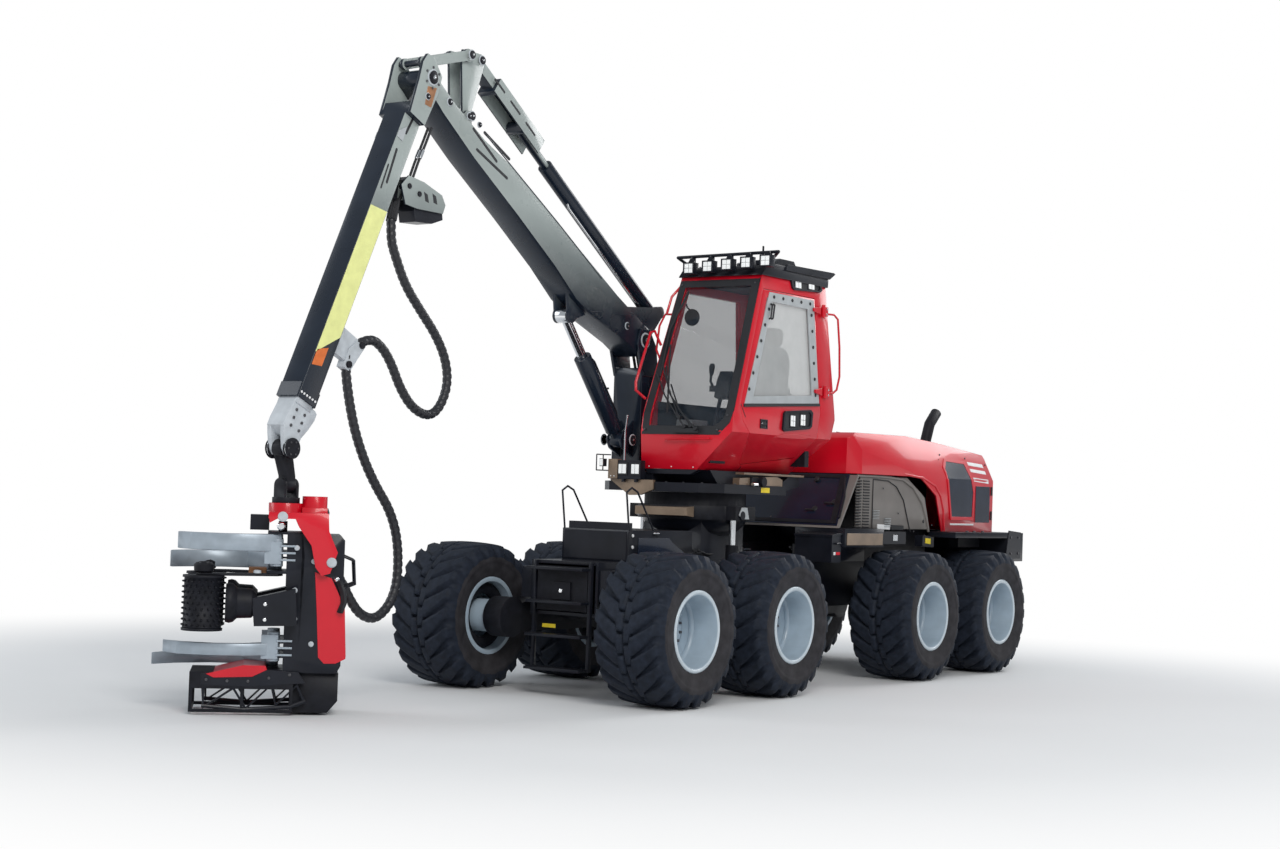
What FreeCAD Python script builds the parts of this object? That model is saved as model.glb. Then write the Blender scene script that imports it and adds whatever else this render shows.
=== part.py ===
"""Eight-wheel forestry harvester: parametric FreeCAD document, one STEP file per sub-part.

Machine frame while modelling, in millimetres: +X forward, +Y to the machine's left, +Z up, with the
ground at Z = 0 and X = 0 midway between the two front axles. At the end everything is moved so that
the origin is the middle of the whole machine's footprint.
"""
import math
import os

import FreeCAD
import Part
import Sketcher
from FreeCAD import Placement, Rotation, Vector

doc = FreeCAD.newDocument("ForestryHarvester")
sheet = doc.addObject("Spreadsheet::Sheet", "Sizes")

# ---------------------------------------------------------------- driving dimensions
SIZES = {
    # clearances
    "seat_gap": 0.3,
    "running_gap": 5.0,
    "tyre_clearance": 25.0,
    # wheels
    "tyre_diameter": 1340.0,
    "tyre_width": 710.0,
    "lug_height": 48.0,
    "lug_count": 16,
    "rim_radius": 330.0,
    "rim_flange_radius": 357.0,
    "rim_width": 640.0,
    "rim_wall": 14.0,
    "rim_disc_offset": 4.0,
    "rim_disc_thickness": 26.0,
    "hub_radius": 150.0,
    "hub_cap_radius": 95.0,
    "hub_cap_length": 24.0,
    "wheel_track": 2280.0,
    "front_axle_spacing": 1642.0,
    "rear_axle_spacing": 1659.0,
    "wheelbase": 4464.0,
    # bogies
    "bogie_inner": 560.0,
    "bogie_outer": 760.0,
    "bogie_end_radius": 185.0,
    "bogie_depth": 270.0,
    "bogie_pivot_radius": 130.0,
    "bogie_pivot_rise": 90.0,
    # frames
    "frame_half_width": 375.0,
    "frame_bottom": 720.0,
    "frame_top": 1210.0,
    "frame_plate": 30.0,
    "front_frame_nose": 800.0,
    "joint_offset": 2230.0,
    "joint_radius": 170.0,
    "joint_plate": 50.0,
    "front_box_front": 350.0,
    "front_box_rear": -700.0,
    "front_box_top": 1500.0,
    "box_plate": 10.0,
    "hoop_height": 1887.0,
    "hoop_tube_radius": 9.0,
    "hoop_length": 410.0,
    "ladder_half_width": 310.0,
    "ladder_bottom": 230.0,
    # slewing base
    "slew_offset": 1300.0,
    "levelling_shift": 120.0,
    "levelling_spread": 520.0,
    "slew_ring_radius": 560.0,
    "base_plate_bottom": 1610.0,
    "base_plate_top": 1745.0,
    "slew_ring_top": 1865.0,
    "platform_thickness": 90.0,
    "platform_front": -560.0,
    "platform_rear": -2100.0,
    "platform_right": -900.0,
    "platform_left": 560.0,
    # rear frame
    "bumper_half_width": 1250.0,
    "bumper_overhang": 336.5,
    "bumper_wing": 1750.0,
    "bumper_drop": 20.0,
    "deck_height": 1555.0,
    "tank_length": 430.0,
    "engine_length": 1995.0,
    "engine_half_width": 430.0,
    "engine_top": 2200.0,
    # hood
    "hood_front": -3020.0,
    "hood_overhang": 116.5,
    "hood_half_width": 960.0,
    "hood_front_narrowing": 120.0,
    "hood_front_top": 2550.0,
    "hood_rear_top": 2415.0,
    "hood_split": 2120.0,
    "hood_wall": 20.0,
    "exhaust_radius": 62.0,
    "exhaust_offset": 250.0,
    # cab
    "cab_left": 800.0,
    "cab_right": -240.0,
    "cab_floor": 2085.0,
    "cab_wall": 60.0,
    "cab_roof_top": 4120.0,
    "roof_thickness": 130.0,
    "glass_thickness": 8.0,
    "glass_recess": 20.0,
    "door_gap": 5.0,
    "lamp_pitch": 220.0,
    # crane
    "crane_offset": -620.0,
    "post_front": -960.0,
    "boom_foot_x": -980.0,
    "boom_foot_z": 3350.0,
    "boom_length": 3870.0,
    "boom_angle": 30.9,
    "boom_tip_radius": 80.0,
    "boom_half_width": 150.0,
    "boom_wall": 14.0,
    "stick_angle": -65.3,
    "stick_length": 3145.0,
    "stick_half_width": 120.0,
    "stick_depth": 210.0,
    "stick_wall": 14.0,
    "stick_pin_u": -101.0,
    "stick_pin_v": 100.0,
    "tip_reach": 3542.0,
    "tip_pin_back": 45.0,
    "nose_half_width": 92.0,
    "lift_foot_x": -830.0,
    "lift_foot_z": 2360.0,
    "lift_top_u": 1021.0,
    "lift_top_v": -436.0,
    "lift_barrel_radius": 85.0,
    "lift_barrel_length": 1000.0,
    "lift_rod_radius": 48.0,
    "bar_foot_u": -145.0,
    "bar_foot_v": 450.0,
    "bar_barrel_length": 2200.0,
    "bar_barrel_radius": 70.0,
    "bar_rod_radius": 42.0,
    "bar_drop": 30.0,
    "bar_pin_x": -171.0,
    "bar_pin_z": 532.0,
    "rocker_back": 611.0,
    "rocker_rise": 98.5,
    "coupler_pin_x": 31.0,
    "coupler_pin_z": 538.0,
    # swing link and head
    "link_back": 60.0,
    "link_drop": 295.0,
    "rotator_drop": 140.0,
    "rotator_height": 71.0,
    "rotator_radius": 134.0,
    "head_turn": -45.0,
    "head_half_width": 270.0,
    "tilt_x": -312.0,
    "tilt_z": -405.0,
    "knife_x": 60.0,
    "upper_knife_reach": 830.0,
    "lower_knife_reach": 915.0,
    "roller_x": 610.0,
    "roller_y": 330.0,
    "roller_radius": 165.0,
    "roller_length": 430.0,
    "saw_frame_depth": 314.0,
}


class Size:
    """A number together with the spreadsheet expression that gives it."""

    def __init__(self, value, text):
        self.value = float(value)
        self.text = text

    @staticmethod
    def of(item):
        return item if isinstance(item, Size) else Size(item, repr(float(item)))

    def join(self, other, sign, result):
        return Size(result, f"({self.text} {sign} {other.text})")

    def __add__(self, other):
        other = Size.of(other)
        return self.join(other, "+", self.value + other.value)

    def __radd__(self, other):
        return Size.of(other) + self

    def __sub__(self, other):
        other = Size.of(other)
        return self.join(other, "-", self.value - other.value)

    def __rsub__(self, other):
        return Size.of(other) - self

    def __mul__(self, other):
        other = Size.of(other)
        return self.join(other, "*", self.value * other.value)

    __rmul__ = __mul__

    def __truediv__(self, other):
        other = Size.of(other)
        return self.join(other, "/", self.value / other.value)

    def __neg__(self):
        return Size(-self.value, f"(0 - {self.text})")

    def __float__(self):
        return self.value


class Sizes:
    """Attribute access to the sheet: S.tyre_width is a Size bound to its cell."""


S = Sizes()
for row, (alias, number) in enumerate(SIZES.items(), start=1):
    sheet.set(f"A{row}", alias)
    sheet.set(f"B{row}", str(number))
    sheet.setAlias(f"B{row}", alias)
    setattr(S, alias, Size(number, f"Sizes.{alias}"))
doc.recompute()


# ---------------------------------------------------------------- modelling helpers
def bind(item, prop, size):
    """Set a property from a Size through the expression engine, or from a plain number."""
    if isinstance(size, Size):
        item.setExpression(prop, size.text)
    else:
        path = prop.split(".")
        target = item
        for name in path[:-1]:
            target = getattr(target, name)
        if len(path) == 1:
            setattr(target, path[0], size)
        else:
            item.setExpression(prop, repr(float(size)))


def base_at(item, x, y, z, rotation=None):
    """Place an item, with each coordinate bound to the sheet."""
    item.Placement = Placement(Vector(float(x), float(y), float(z)), rotation or Rotation())
    for axis, size in zip("xyz", (x, y, z)):
        if isinstance(size, Size):
            item.setExpression(f"Placement.Base.{axis}", size.text)


def box(name, x, y, z):
    """Block between two limits on each axis."""
    item = doc.addObject("Part::Box", name)
    bind(item, "Length", Size.of(x[1]) - x[0])
    bind(item, "Width", Size.of(y[1]) - y[0])
    bind(item, "Height", Size.of(z[1]) - z[0])
    base_at(item, x[0], y[0], z[0])
    return item


AXIS_TURN = {
    "X": Rotation(Vector(0, 1, 0), 90),
    "Y": Rotation(Vector(1, 0, 0), -90),
    "Z": Rotation(),
}


def cylinder(name, radius, start, axis, length):
    """Cylinder from a start point along +X, +Y or +Z."""
    item = doc.addObject("Part::Cylinder", name)
    bind(item, "Radius", radius)
    bind(item, "Height", length)
    base_at(item, *start, rotation=AXIS_TURN[axis])
    return item


def rod(name, radius, start, end):
    """Cylinder between any two points."""
    item = doc.addObject("Part::Cylinder", name)
    bind(item, "Radius", radius)
    first, last = (Vector(*(float(value) for value in point)) for point in (start, end))
    item.Height = (last - first).Length
    item.Placement = Placement(first, Rotation(Vector(0, 0, 1), last - first))
    return item


def ball(name, radius, centre):
    item = doc.addObject("Part::Sphere", name)
    bind(item, "Radius", radius)
    base_at(item, *centre)
    return item


PLANE_TURN = {
    "XY": Rotation(),
    "XZ": Rotation(Vector(1, 0, 0), 90),
    "YZ": Rotation(Vector(1, 1, 1), 120),
}


def plate(name, outline, limits, plane="XZ"):
    """Padded outline. The outline lies in the named plane and the pad fills the limits across it."""
    body = doc.addObject("PartDesign::Body", name)
    origin = [item for item in body.Origin.OriginFeatures if item.Role == "XY_Plane"][0]
    sketch = body.newObject("Sketcher::SketchObject", name + "_outline")
    sketch.AttachmentSupport = (origin, [""])
    sketch.MapMode = "FlatFace"
    count = len(outline)
    points = [Vector(float(first), float(second), 0) for first, second in outline]
    for index in range(count):
        sketch.addGeometry(Part.LineSegment(points[index], points[(index + 1) % count]))
    links = [Sketcher.Constraint("Coincident", k, 2, (k + 1) % count, 1) for k in range(count)]
    for index, point in enumerate(points):
        links.append(Sketcher.Constraint("DistanceX", -1, 1, index, 1, point.x))
        links.append(Sketcher.Constraint("DistanceY", -1, 1, index, 1, point.y))
    sketch.addConstraint(links)
    for index, pair in enumerate(outline):
        for step, size in enumerate(pair):
            if isinstance(size, Size):
                sketch.setExpression(f"Constraints[{count + 2 * index + step}]", size.text)
    pad = body.newObject("PartDesign::Pad", name + "_pad")
    pad.Profile = sketch
    low, high = Size.of(limits[0]), Size.of(limits[1])
    bind(pad, "Length", high - low)
    start = {"XY": (0, 0, low), "XZ": (0, high, 0), "YZ": (low, 0, 0)}[plane]
    base_at(body, *start, PLANE_TURN[plane])
    return body


def fuse(name, *items):
    item = doc.addObject("Part::MultiFuse", name)
    item.Shapes = list(items)
    item.Refine = True
    return item


def group(name, *items):
    """Several separate solids in one sub-part."""
    item = doc.addObject("Part::Compound", name)
    item.Links = list(items)
    return item


def common(name, *items):
    """What two solids share, and then what that shares with each further one."""
    shared = items[0]
    for k, other in enumerate(items[1:]):
        item = doc.addObject("Part::MultiCommon", name if k == len(items) - 2 else f"{name}_part_{k}")
        item.Shapes = [shared, other]
        shared = item
    return shared


def cut(name, base, *tools):
    item = doc.addObject("Part::Cut", name)
    item.Base = base
    item.Tool = tools[0] if len(tools) == 1 else fuse(name + "_tools", *tools)
    item.Refine = True
    return item


SUBPARTS = {}


def subpart(node, item, placement=None):
    """Name an object as a sub-part, standing in its own place."""
    if placement and item.TypeId in ("PartDesign::Body", "Part::Box", "Part::Cylinder"):
        item = group(node + "_set", item)
    item.Label = node
    if placement:
        item.Placement = placement
    SUBPARTS[node] = item
    return item


def tilted(x, y, z, angle):
    """Placement at a point, turned so that local +X points up by an angle in degrees."""
    return Placement(Vector(float(x), float(y), float(z)), Rotation(Vector(0, 1, 0), -float(angle)))


def pair(side, low, high):
    """Mirror a pair of lateral limits for the left (+1) or right (-1) side."""
    return (low, high) if side > 0 else (-Size.of(high), -Size.of(low))


SIDES = {"left": 1, "right": -1}

# ---------------------------------------------------------------- wheels
FRONT_AXLES = {"1": S.front_axle_spacing / 2, "2": -S.front_axle_spacing / 2}
REAR_AXLES = {"3": S.rear_axle_spacing / 2 - S.wheelbase, "4": -S.rear_axle_spacing / 2 - S.wheelbase}
AXLE_HEIGHT = S.tyre_diameter / 2
BUMPER_REAR = REAR_AXLES["4"] - S.tyre_diameter / 2 - S.bumper_overhang
BUMPER_FRONT = REAR_AXLES["4"] - S.tyre_diameter * 0.437
BUMPER_TOP = S.deck_height - S.bumper_drop
HOOD_REAR = REAR_AXLES["4"] - S.tyre_diameter / 2 - S.hood_overhang
TANK_REAR = S.hood_front - S.tank_length


def tyre_shape(side):
    """Tyre with chevron lugs as a closed polyhedron about the Y axis."""
    outer = float(S.tyre_diameter) / 2
    root = outer - float(S.lug_height)
    half = float(S.tyre_width) / 2
    lugs = int(float(S.lug_count))
    pitch = 2 * math.pi / lugs
    lean = 0.9 * pitch

    def ring(radii, offsets, y, shift, turn_count):
        points = []
        for turn in range(turn_count):
            for radius, offset in zip(radii, offsets):
                angle = shift + (turn + offset) * 2 * math.pi / turn_count
                points.append(Vector(radius * math.sin(angle), y, radius * math.cos(angle)))
        return points

    gear_radii = (root, outer, outer, root)
    gear_offsets = (0.20, 0.27, 0.63, 0.70)
    shoulder_y = 0.86 * half
    bead_radius = (float(S.rim_radius) + float(S.seat_gap)) / math.cos(math.pi / 16)
    bead_y = float(S.rim_width) / 2 - float(S.rim_wall) - float(S.seat_gap)
    seat_radius = (float(S.rim_flange_radius) + float(S.seat_gap)) / math.cos(math.pi / 16)
    rings = [
        ring((bead_radius,), (0,), -bead_y, 0, 16),
        ring((seat_radius,), (0,), -bead_y, 0, 16),
        ring((0.80 * root,), (0,), -half, 0, 32),
        ring(gear_radii, gear_offsets, -shoulder_y, side * lean, lugs),
        ring(gear_radii, gear_offsets, 0, 0, lugs),
        ring(gear_radii, gear_offsets, shoulder_y, side * lean, lugs),
        ring((0.80 * root,), (0,), half, 0, 32),
        ring((seat_radius,), (0,), bead_y, 0, 16),
        ring((bead_radius,), (0,), bead_y, 0, 16),
    ]
    faces = []

    def triangle(first, second, third):
        faces.append(Part.Face(Part.makePolygon([first, second, third, first])))

    def bearing(point):
        return math.atan2(point.x, point.z) % (2 * math.pi)

    def stitch(lower, upper):
        """Triangles between two rings, which may have different numbers of points."""
        start = min(range(len(upper)), key=lambda k: (upper[k] - lower[0]).Length)
        upper = upper[start:] + upper[:start]
        first, second = 0, 0
        low_count, high_count = len(lower), len(upper)
        while first < low_count or second < high_count:
            here, there = lower[first % low_count], upper[second % high_count]
            low_share = (first + 0.5) / low_count
            high_share = (second + 0.5) / high_count
            if second >= high_count or (first < low_count and low_share <= high_share):
                triangle(here, lower[(first + 1) % low_count], there)
                first += 1
            else:
                triangle(here, upper[(second + 1) % high_count], there)
                second += 1

    for lower, upper in zip(rings, rings[1:]):
        stitch(lower, upper)
    stitch(rings[-1], rings[0])
    shell = Part.Shell(faces)
    solid = Part.Solid(shell)
    if solid.Volume < 0:
        solid.reverse()
    return solid


def rim_body(name):
    """Rim: flanged barrel, disc, hub and cap, turned about the wheel axle (local Y outward)."""
    half = S.rim_width / 2
    barrel = [(S.rim_radius - S.rim_wall, -half), (S.rim_flange_radius, -half),
              (S.rim_flange_radius, S.rim_wall - half), (S.rim_radius, S.rim_wall - half),
              (S.rim_radius, half - S.rim_wall), (S.rim_flange_radius, half - S.rim_wall),
              (S.rim_flange_radius, half), (S.rim_radius - S.rim_wall, half),
              (S.rim_radius - S.rim_wall, S.rim_disc_offset + S.rim_disc_thickness),
              (S.hub_cap_radius, S.rim_disc_offset + S.rim_disc_thickness),
              (S.hub_cap_radius, S.rim_disc_offset + S.rim_disc_thickness + S.hub_cap_length),
              (0.0, S.rim_disc_offset + S.rim_disc_thickness + S.hub_cap_length),
              (0.0, S.bogie_outer + S.seat_gap - S.wheel_track / 2),
              (S.hub_radius, S.bogie_outer + S.seat_gap - S.wheel_track / 2),
              (S.hub_radius, S.rim_disc_offset), (S.rim_radius - S.rim_wall, S.rim_disc_offset)]
    body = doc.addObject("PartDesign::Body", name)
    planes = {item.Role: item for item in body.Origin.OriginFeatures}
    sketch = body.newObject("Sketcher::SketchObject", name + "_section")
    sketch.AttachmentSupport = (planes["XY_Plane"], [""])
    sketch.MapMode = "FlatFace"
    points = [Vector(float(radius), float(across), 0) for radius, across in barrel]
    count = len(points)
    for index in range(count):
        sketch.addGeometry(Part.LineSegment(points[index], points[(index + 1) % count]))
    links = [Sketcher.Constraint("Coincident", k, 2, (k + 1) % count, 1) for k in range(count)]
    for index, point in enumerate(points):
        links.append(Sketcher.Constraint("DistanceX", -1, 1, index, 1, point.x))
        links.append(Sketcher.Constraint("DistanceY", -1, 1, index, 1, point.y))
    sketch.addConstraint(links)
    for index, sizes in enumerate(barrel):
        for step, size in enumerate(sizes):
            if isinstance(size, Size):
                sketch.setExpression(f"Constraints[{count + 2 * index + step}]", size.text)
    turned = body.newObject("PartDesign::Revolution", name + "_turned")
    turned.Profile = sketch
    turned.ReferenceAxis = (sketch, ["V_Axis"])
    turned.Angle = 360
    return body


def make_wheels():
    shapes = {side: tyre_shape(side) for side in (1, -1)}
    for axles in (FRONT_AXLES, REAR_AXLES):
        for number, x in axles.items():
            for word, side in SIDES.items():
                place = Vector(float(x), side * float(S.wheel_track) / 2, float(AXLE_HEIGHT))
                tyre = doc.addObject("Part::Feature", f"tyre_{number}_{word}")
                tyre.Shape = shapes[side]
                tyre.Placement = Placement(place, Rotation())
                subpart(f"tyre_{number}_{word}", tyre)
                rim = rim_body(f"rim_{number}_{word}")
                turn = Rotation() if side > 0 else Rotation(Vector(0, 0, 1), 180)
                rim.Placement = Placement(place, turn)
                subpart(f"rim_{number}_{word}", rim)


# ---------------------------------------------------------------- bogies and frames
def bogie(node, centre, spacing, side):
    """Walking-beam case between two axles, with its pivot stub against the frame."""
    reach = spacing / 2
    half_depth = S.bogie_depth / 2
    height = AXLE_HEIGHT
    outline = [(centre - reach, height - half_depth), (centre + reach, height - half_depth),
               (centre + reach, height + half_depth * 0.7),
               (centre + reach / 3, height + half_depth + S.bogie_pivot_rise),
               (centre - reach / 3, height + half_depth + S.bogie_pivot_rise),
               (centre - reach, height + half_depth * 0.7)]
    limits = pair(side, S.bogie_inner, S.bogie_outer)
    beam = plate(node + "_beam", outline, limits)
    ends = [cylinder(f"{node}_end_{k}", S.bogie_end_radius, (centre + sign * reach, limits[0], height),
                     "Y", S.bogie_outer - S.bogie_inner) for k, sign in enumerate((1, -1))]
    stub_y = pair(side, S.frame_half_width, S.bogie_inner)
    stub = cylinder(node + "_stub", S.bogie_pivot_radius, (centre, stub_y[0], height + S.bogie_pivot_rise),
                    "Y", S.bogie_inner - S.frame_half_width)
    return fuse(node + "_case", beam, stub, *ends)


def make_bogies():
    for node, centre, spacing in (("front_bogies", Size.of(0.0), S.front_axle_spacing),
                                  ("rear_bogies", -S.wheelbase, S.rear_axle_spacing)):
        cases = [bogie(f"{node}_{word}", centre, spacing, side) for word, side in SIDES.items()]
        subpart(node, group(node + "_pair", *cases))


def hollow_beam(name, x, y, z, wall):
    """Box section that is open at both ends."""
    outer = box(name + "_outer", x, y, z)
    inner = box(name + "_inner", (Size.of(x[0]) - 1, Size.of(x[1]) + 1), (y[0] + wall, y[1] - wall),
                (z[0] + wall, z[1] - wall))
    return cut(name, outer, inner)


def make_front_frame():
    w = S.frame_half_width
    joint_x = -S.joint_offset
    tail = joint_x + S.joint_radius + S.running_gap
    beam = hollow_beam("front_beam", (tail, S.front_frame_nose), (-w, w), (S.frame_bottom, S.frame_top),
                       S.frame_plate)
    end = box("front_beam_end", (tail, tail + S.frame_plate), (-w, w), (S.frame_bottom, S.frame_top))
    plates = []
    for k, low in enumerate((S.frame_top - S.joint_plate, S.frame_bottom)):
        tongue = box(f"front_ear_{k}", (joint_x, tail + S.frame_plate), (-S.joint_radius, S.joint_radius),
                     (low, low + S.joint_plate))
        eye = cylinder(f"front_eye_{k}", S.joint_radius, (joint_x, 0.0, low), "Z", S.joint_plate)
        plates += [tongue, eye]
    pedestal = box("slew_pedestal", (-S.slew_offset - 380, -S.slew_offset + 380), (-330.0, 330.0),
                   (S.frame_top, S.base_plate_bottom))
    subpart("front_frame", fuse("front_frame_body", beam, end, pedestal, *plates, *front_ladder()))


def front_ladder():
    x = S.front_frame_nose
    rails = [box(f"ladder_rail_{k}", (x, x + 40), (side * S.ladder_half_width - 15,
             side * S.ladder_half_width + 15), (S.ladder_bottom, S.frame_top)) for k, side in enumerate((1, -1))]
    steps = [box(f"ladder_step_{k}", (x, x + 160), (-S.ladder_half_width, S.ladder_half_width),
                 (S.ladder_bottom + 300 * k, S.ladder_bottom + 300 * k + 25)) for k in range(4)]
    return rails + steps


def make_front_box():
    w = S.frame_half_width
    front, rear = S.front_box_front, S.front_box_rear
    top = S.front_box_top
    outer = box("front_box_outer", (rear, front), (-w, w), (S.frame_top, top))
    inner = box("front_box_inner", (rear - 1, front - S.box_plate), (-w + S.box_plate, w - S.box_plate),
                (S.frame_top - 1, top - S.box_plate))
    pieces = [cut("front_box_body", outer, inner)]
    for word, side in SIDES.items():
        y = side * (S.frame_half_width - 10)
        low, high = S.front_box_top, S.hoop_height
        x0, x1 = S.front_box_front - 15, S.front_box_front - S.hoop_length
        path = [(x0, y, low), (x0 + 55, y, high - 42), (x0 - 25, y, high), (x0 - 118, y, high - 36), (x1, y, low)]
        legs = [rod(f"hoop_{word}_{k}", S.hoop_tube_radius, path[k], path[k + 1]) for k in range(4)]
        balls = [ball(f"hoop_{word}_ball_{k}", S.hoop_tube_radius, path[k]) for k in range(1, 4)]
        trim = box(f"hoop_{word}_trim", (x1 - 50, x0 + 50), (y - 20, y + 20), (low - 50, low))
        pieces.append(cut(f"handrail_{word}", fuse(f"hoop_{word}", *legs, *balls), trim))
    subpart("front_box", fuse("front_box_set", *pieces))


def make_slew_base():
    x = -S.slew_offset
    disc = cylinder("base_disc", S.slew_ring_radius, (x, 0.0, S.base_plate_bottom), "Z",
                    S.base_plate_top - S.base_plate_bottom)
    ring = cylinder("base_ring", S.slew_ring_radius - 60, (x, 0.0, S.base_plate_top), "Z",
                    S.slew_ring_top - S.base_plate_top)
    wing = S.levelling_spread + 100
    wings = box("base_wings", (x - 130, x + S.levelling_shift + 110), (-wing, wing),
                (S.base_plate_bottom, S.base_plate_top))
    pieces = [disc, ring, wings]
    x = x + S.levelling_shift
    for word, side in SIDES.items():
        y = side * S.levelling_spread
        foot = cylinder(f"level_barrel_{word}", 55.0, (x, y, S.frame_top - 60), "Z", 220.0)
        piston = cylinder(f"level_rod_{word}", 32.0, (x, y, S.frame_top + 160), "Z",
                          S.base_plate_bottom - S.frame_top - 160)
        arm_y = pair(side, S.frame_half_width, S.levelling_spread)
        arm = box(f"level_arm_{word}", (x - 50, x + 50), arm_y, (S.frame_top - 160, S.frame_top - 60))
        pieces += [foot, piston, arm]
    subpart("slew_base", fuse("slew_base_body", *pieces))


def make_rear_frame():
    w = S.frame_half_width
    joint_x = -S.joint_offset
    nose = joint_x - S.joint_radius - S.running_gap
    rear = BUMPER_REAR
    beam = hollow_beam("rear_beam", (rear + 70, nose), (-w, w), (S.frame_bottom, S.frame_top), S.frame_plate)
    end = box("rear_beam_end", (nose - S.frame_plate, nose), (-w, w), (S.frame_bottom, S.frame_top))
    low = S.frame_bottom + S.joint_plate + S.seat_gap
    high = S.frame_top - S.joint_plate - S.seat_gap
    tongue = box("rear_tongue", (nose - S.frame_plate, joint_x), (-S.joint_radius, S.joint_radius), (low, high))
    eye = cylinder("rear_eye", S.joint_radius, (joint_x, 0.0, low), "Z", high - low)
    deck_low = S.tyre_diameter + S.tyre_clearance
    sides = []
    for word, side in SIDES.items():
        y = pair(side, S.frame_half_width, S.hood_half_width)
        sides.append(box(f"deck_{word}", (TANK_REAR, S.hood_front + 400), y, (deck_low, S.deck_height)))
        y = pair(side, S.frame_half_width - S.frame_plate, S.bogie_outer - S.tyre_clearance)
        sides.append(box(f"deck_foot_{word}", (TANK_REAR, S.hood_front + 400), y, (S.frame_top, deck_low)))
    subpart("rear_frame", fuse("rear_frame_body", beam, end, tongue, eye, *sides))
    bar = box("bumper_bar", (rear, BUMPER_FRONT), (-S.bumper_half_width, S.bumper_half_width),
              (S.frame_top, BUMPER_TOP))
    arms = [box(f"bumper_wing_{word}", (rear, rear + S.bumper_wing),
                pair(side, S.bumper_half_width - 330, S.bumper_half_width),
                (BUMPER_TOP - 60, BUMPER_TOP)) for word, side in SIDES.items()]
    subpart("rear_bumper", fuse("rear_bumper_body", bar, *arms))
    engine_front = TANK_REAR - S.running_gap
    block = box("engine", (engine_front - S.engine_length, engine_front),
                (-S.engine_half_width, S.engine_half_width), (S.frame_top, S.engine_top))
    subpart("engine_block", block)


def make_body_panels():
    """Grey side panels under the hood's split line, and the slanted panel in front of the tank."""
    front, top = S.hood_front + 30, S.hood_split - 15
    skins = plate("side_panel_outline", [(front, S.deck_height), (front - 1570, S.deck_height),
                                         (front - 1430, 1900.0), (front - 1070, top), (front, top)],
                  (-S.hood_half_width, S.hood_half_width))
    outer = hood_plan("side_panel_outer", 30.0, S.deck_height, S.hood_split)
    inner = hood_plan("side_panel_inner", 60.0, S.deck_height - 10, S.hood_split + 10)
    trim = box("side_panel_trim", (S.hood_front - 160, front + 10),
               (-S.hood_half_width, S.hood_half_width), (S.deck_height - 10, S.hood_split + 10))
    sides = cut("side_panel_skins", common("side_panel_band", skins, outer), inner, trim)
    slant = plate("front_panel_skin", [(S.hood_front + 380, S.deck_height), (S.hood_front + 410, S.deck_height),
                                       (S.hood_front + 30, top), (S.hood_front, top)],
                  (-S.hood_half_width + 70, S.hood_half_width - 70))
    subpart("body_panels", group("body_panel_set", slant, sides))


# ---------------------------------------------------------------- hood
def hood_plan(name, inset, low, high):
    """Plan of the hood, narrower at the front with chamfered corners, as a block between two heights."""
    front, rear = S.hood_front - inset, HOOD_REAR + inset
    w = S.hood_half_width - inset
    narrow = w - S.hood_front_narrowing
    outline = [(front, narrow - 110), (front - 130, narrow), (front - 1300, w), (rear, w),
               (rear, -w), (front - 1300, -w), (front - 130, -narrow), (front, -narrow + 110)]
    return plate(name, outline, (low, high), "XY")


def hood_solid(name, inset):
    """Tapered hood block; the inset shrinks it on every side except the open bottom."""
    front, rear = S.hood_front - inset, HOOD_REAR + inset
    w = S.hood_half_width - inset
    middle, foot = HOOD_REAR + 1440, BUMPER_TOP + S.seat_gap
    side = [(front, S.hood_split), (front, S.hood_front_top - inset - 60),
            (front - 120, S.hood_front_top - inset), (middle + 360, S.hood_front_top - inset + 10),
            (middle - 350, S.hood_front_top - inset - 37), (rear + 25, S.hood_rear_top - inset),
            (rear, S.hood_rear_top - inset - 50), (rear, foot), (middle - 160, foot),
            (middle, 1920.0), (middle + 390, S.hood_split)]
    block = plate(name + "_side", side, (-w, w))
    corner = [(w, BUMPER_TOP - 100), (w, S.hood_split), (w - 230, S.hood_front_top + 50 - inset),
              (-w + 230, S.hood_front_top + 50 - inset), (-w, S.hood_split), (-w, BUMPER_TOP - 100)]
    across = plate(name + "_across", corner, (HOOD_REAR - 100, S.hood_front + 100), "YZ")
    plan = hood_plan(name + "_plan", inset, BUMPER_TOP - 100, S.hood_front_top + 100)
    return common(name, block, across, plan)


def make_hood():
    outer = hood_solid("hood_outer", 0.0)
    inner = hood_solid("hood_inner", S.hood_wall)
    w = S.hood_half_width - S.hood_wall
    lower = box("hood_lower_clear", (HOOD_REAR + S.hood_wall, HOOD_REAR + 2000), (-w, w),
                (BUMPER_TOP, BUMPER_TOP + 60))
    mouth = common("hood_mouth", hood_plan("hood_mouth_plan", S.hood_wall, S.hood_split - 20, S.hood_split + 20),
                   box("hood_mouth_length", (HOOD_REAR + 1880, S.hood_front), (-w, w),
                       (S.hood_split - 20, S.hood_split + 20)))
    subpart("hood", cut("hood_body", outer, inner, lower, mouth))
    x, y, top = HOOD_REAR, S.exhaust_offset, S.hood_rear_top
    path = [(x + 380, y, top - 65), (x + 340, y, top + 145), (x + 250, y, top + 345), (x + 90, y, top + 485)]
    runs = [rod(f"exhaust_{k}", S.exhaust_radius, path[k], path[k + 1]) for k in range(3)]
    bends = [ball(f"exhaust_bend_{k}", S.exhaust_radius, path[k]) for k in (1, 2)]
    subpart("exhaust", cut("exhaust_body", fuse("exhaust_pipe", *runs, *bends), hood_solid("hood_trim", 0.0)))


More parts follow.
